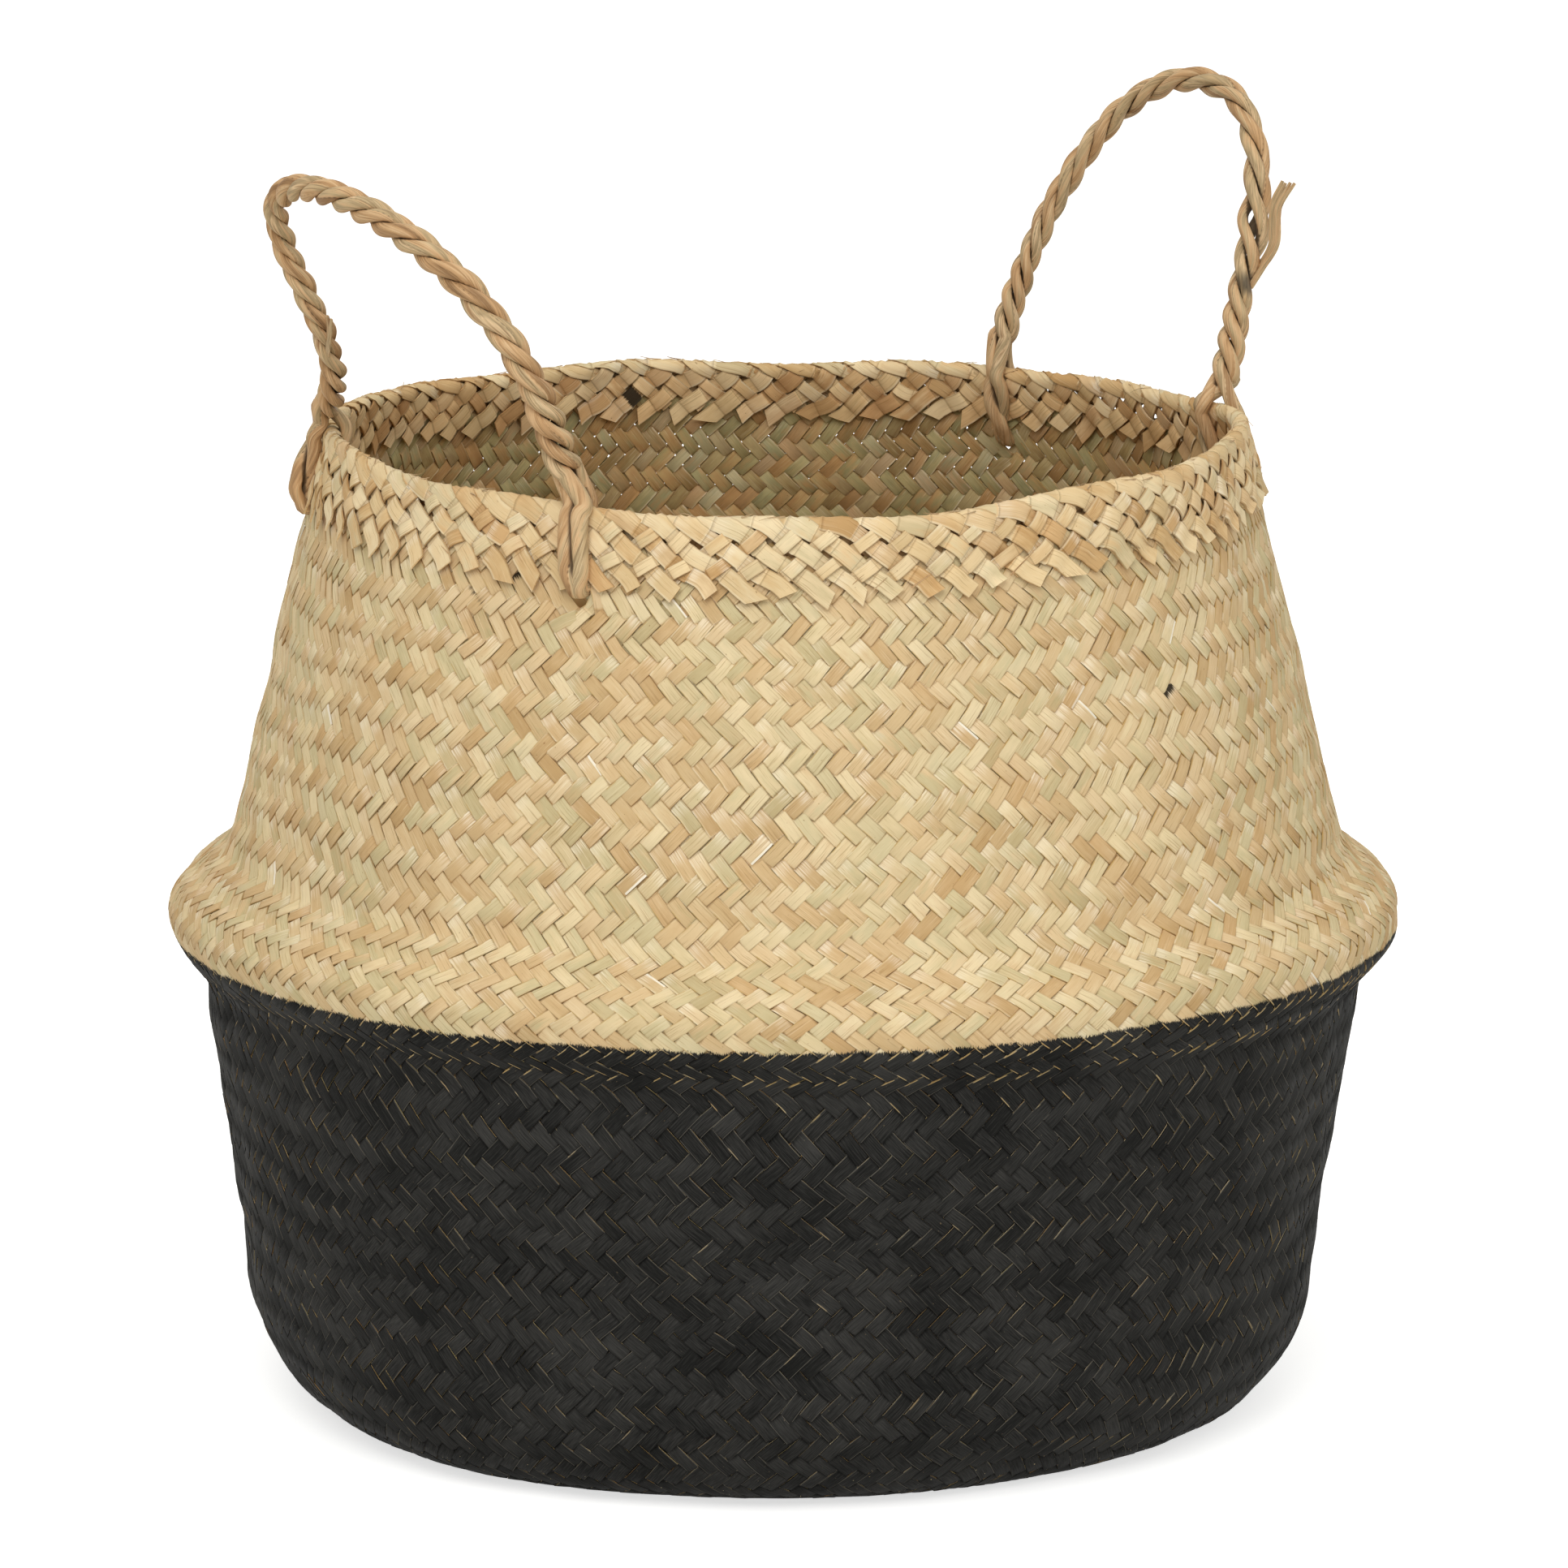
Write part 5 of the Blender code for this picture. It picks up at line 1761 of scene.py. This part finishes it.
tail = [
    (-1.0 * MM, 34 * MM, 2 * MM), (-5 * MM, 41 * MM, 2 * MM), (-10 * MM, 49 * MM, 1 * MM),
    (-9.5 * MM, 58 * MM, 0), (-10.5 * MM, 63 * MM, 0), (-15 * MM, 70 * MM, 0),
]
loose_end("right_frayed_end", RIGHT, -1, tail, 4, 2.6 * MM, 1.5 * MM, "right_frayed_tail")
stub = [
    (0.5 * MM, 26 * MM, 1 * MM), (4.5 * MM, 31 * MM, 2 * MM), (7 * MM, 36 * MM, 1 * MM),
    (8.5 * MM, 41 * MM, 0),
]
loose_end("left_stub", LEFT, -1, stub, 4, 1.7 * MM, 0.9 * MM, "left_stub_end")
print("loose ends made")

# %% [markdown]
# Slivers. Where strips were folded and cut, thin splinters of leaf stand off the rim and
# the hem's lower edge. They catch the light as fine pale lines.

# %% Slivers along the rim and the hem
SLIVERS = 90
SLIVER_THICK = 0.12 * MM


def sliver(number, draw):
    """A thin splinter of leaf on the crest or at the hem's cut tips."""
    angle = draw.uniform(0, 2 * math.pi)
    on_crest = draw.uniform() < 0.6
    start = HEM_CREST + draw.normal(0, 1.2) * MM if on_crest else HEM_LEVELS[0] - draw.uniform(0, 3) * MM
    long = draw.uniform(3, 8) * MM
    lean = draw.choice([-1, 1])
    climb = draw.uniform(-0.4, 0.4) if on_crest else draw.uniform(0.5, 1.0)
    steps = np.linspace(0, 1, 4)
    raised = draw.uniform(0.2, 1.6) * MM
    s = start + climb * long * steps
    turning = angle + lean * steps * long / NECK_RADIUS
    path = place(HEM_LINE, turning, s, -(HEM_SWING + HEM_THICK / 2 + raised * steps ** 2))
    path, length = smooth_line(path, LEAF_STEP)
    width = draw.uniform(0.25, 0.7) * MM * (1 - 0.8 * length / length[-1])
    out = np.array([math.cos(angle), math.sin(angle), 1.0])
    return leaf_rings(path, length, width, SLIVER_THICK, out, draw, number)


bundle = Bundle("rim_slivers")
for number in range(SLIVERS):
    bundle.add(*sliver(number, dice(f"sliver {number}")))
piece = bundle.make(rope_sedge)
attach(piece, "top")
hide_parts("hem_outer")
print(f"{SLIVERS} slivers")

# %% [markdown]
# The stage. The photograph has a plain white ground and soft light from all round, a
# little stronger from the front and above. The floor is white paper: it takes the
# basket's shadow, and it glows a little to the camera so that it reads as white.

# %% Floor and world
FLOOR_REACH = 14.0
PAPER_GLOW = 0.66
WORLD_STRENGTH = 0.54
WARM = (1, 0.985, 0.935, 1)


def seen_directly(tree):
    """1 for rays that show the background as it is: camera, glossy and transmission."""
    outputs = add(tree, "LightPath").node.outputs
    seen = add(tree, "Math", {0: outputs["Is Camera Ray"], 1: outputs["Is Glossy Ray"]}, operation="MAXIMUM")
    return add(tree, "Math", {0: seen, 1: outputs["Is Transmission Ray"]}, operation="MAXIMUM")


def white_floor():
    """A wide sheet of white paper under the basket."""
    mesh = bpy.data.meshes.new("floor")
    shape = bmesh.new()
    bmesh.ops.create_grid(shape, x_segments=1, y_segments=1, size=FLOOR_REACH)
    shape.to_mesh(mesh)
    shape.free()
    floor = bpy.data.objects.new("floor", mesh)
    bpy.context.scene.collection.objects.link(floor)
    paper = bpy.data.materials.new("white_paper")
    paper.use_nodes = True
    tree = paper.node_tree
    shader = tree.nodes["Principled BSDF"]
    shader.inputs["Base Color"].default_value = linear("#E6E6E4")
    shader.inputs["Roughness"].default_value = 0.9
    glow = add(tree, "Math", {0: seen_directly(tree), 1: PAPER_GLOW}, operation="MULTIPLY")
    light = add(tree, "Emission", {"Color": (1, 1, 1, 1), "Strength": glow})
    both = add(tree, "AddShader", {0: shader.outputs[0], 1: light})
    tree.links.new(both, tree.nodes["Material Output"].inputs["Surface"])
    mesh.materials.append(paper)


def soft_world():
    """Even light from all round, which the camera sees as plain white."""
    world = bpy.data.worlds.new("soft_studio")
    world.use_nodes = True
    tree = world.node_tree
    background = tree.nodes["Background"]
    seen = seen_directly(tree)
    level = add(tree, "Mix", {0: seen, 2: WORLD_STRENGTH, 3: 1.0}, data_type="FLOAT")
    light = add(tree, "Mix", {0: seen, 6: WARM, 7: (1, 1, 1, 1)}, output=2, data_type="RGBA")
    tree.links.new(light, background.inputs["Color"])
    tree.links.new(level, background.inputs["Strength"])
    bpy.context.scene.world = world


white_floor()
soft_world()
print(f"white floor {2 * FLOOR_REACH:.0f} m wide, world at {WORLD_STRENGTH}")

# %% Lamps
MIDDLE = Vector((0, 0, 0.2))


def softbox(name, turn, up, distance, size, power):
    """A square lamp that looks at the basket's middle. turn is from the camera's side."""
    light = bpy.data.lights.new(name, "AREA")
    light.shape = "SQUARE"
    light.size = size
    light.energy = power
    lamp = bpy.data.objects.new(name, light)
    heading = FRONT + turn
    level = math.cos(up)
    way = Vector((math.cos(heading) * level, math.sin(heading) * level, math.sin(up)))
    lamp.location = MIDDLE + way * distance
    lamp.rotation_euler = (-way).to_track_quat("-Z", "Y").to_euler()
    bpy.context.scene.collection.objects.link(lamp)


softbox("key_light", turn=math.radians(-9), up=math.radians(42), distance=2.6, size=1.5, power=26.5)
softbox("fill_light", turn=math.radians(38), up=math.radians(30), distance=2.8, size=1.8, power=7.5)
softbox("top_light", turn=0, up=math.radians(86), distance=2.4, size=1.2, power=6)
print("lamps:", [item.name for item in bpy.data.lights])

# %% [markdown]
# The camera was fitted to the photograph: a long lens, nearly three metres away and
# looking down by about twelve degrees.

# %% Camera and colour
CAMERA_DISTANCE = 2.8
CAMERA_HEIGHT = 0.7726
CAMERA_DOWN = math.radians(11.571)
LENS_SHARE = 5.6165
SENSOR = 36.0

camera_data = bpy.data.cameras.new("photo_camera")
camera_data.sensor_width = SENSOR
camera_data.sensor_fit = "HORIZONTAL"
camera_data.lens = LENS_SHARE * SENSOR
camera_data.clip_end = 60
camera = bpy.data.objects.new("photo_camera", camera_data)
camera_x = CAMERA_DISTANCE * math.sin(VIEW_TURN)
camera_y = -CAMERA_DISTANCE * math.cos(VIEW_TURN)
camera.location = (camera_x, camera_y, CAMERA_HEIGHT)
camera.rotation_euler = (math.pi / 2 - CAMERA_DOWN, 0, VIEW_TURN)
bpy.context.scene.collection.objects.link(camera)
bpy.context.scene.camera = camera
bpy.context.scene.view_settings.view_transform = "Standard"
print("camera at", [round(value, 3) for value in camera.location])
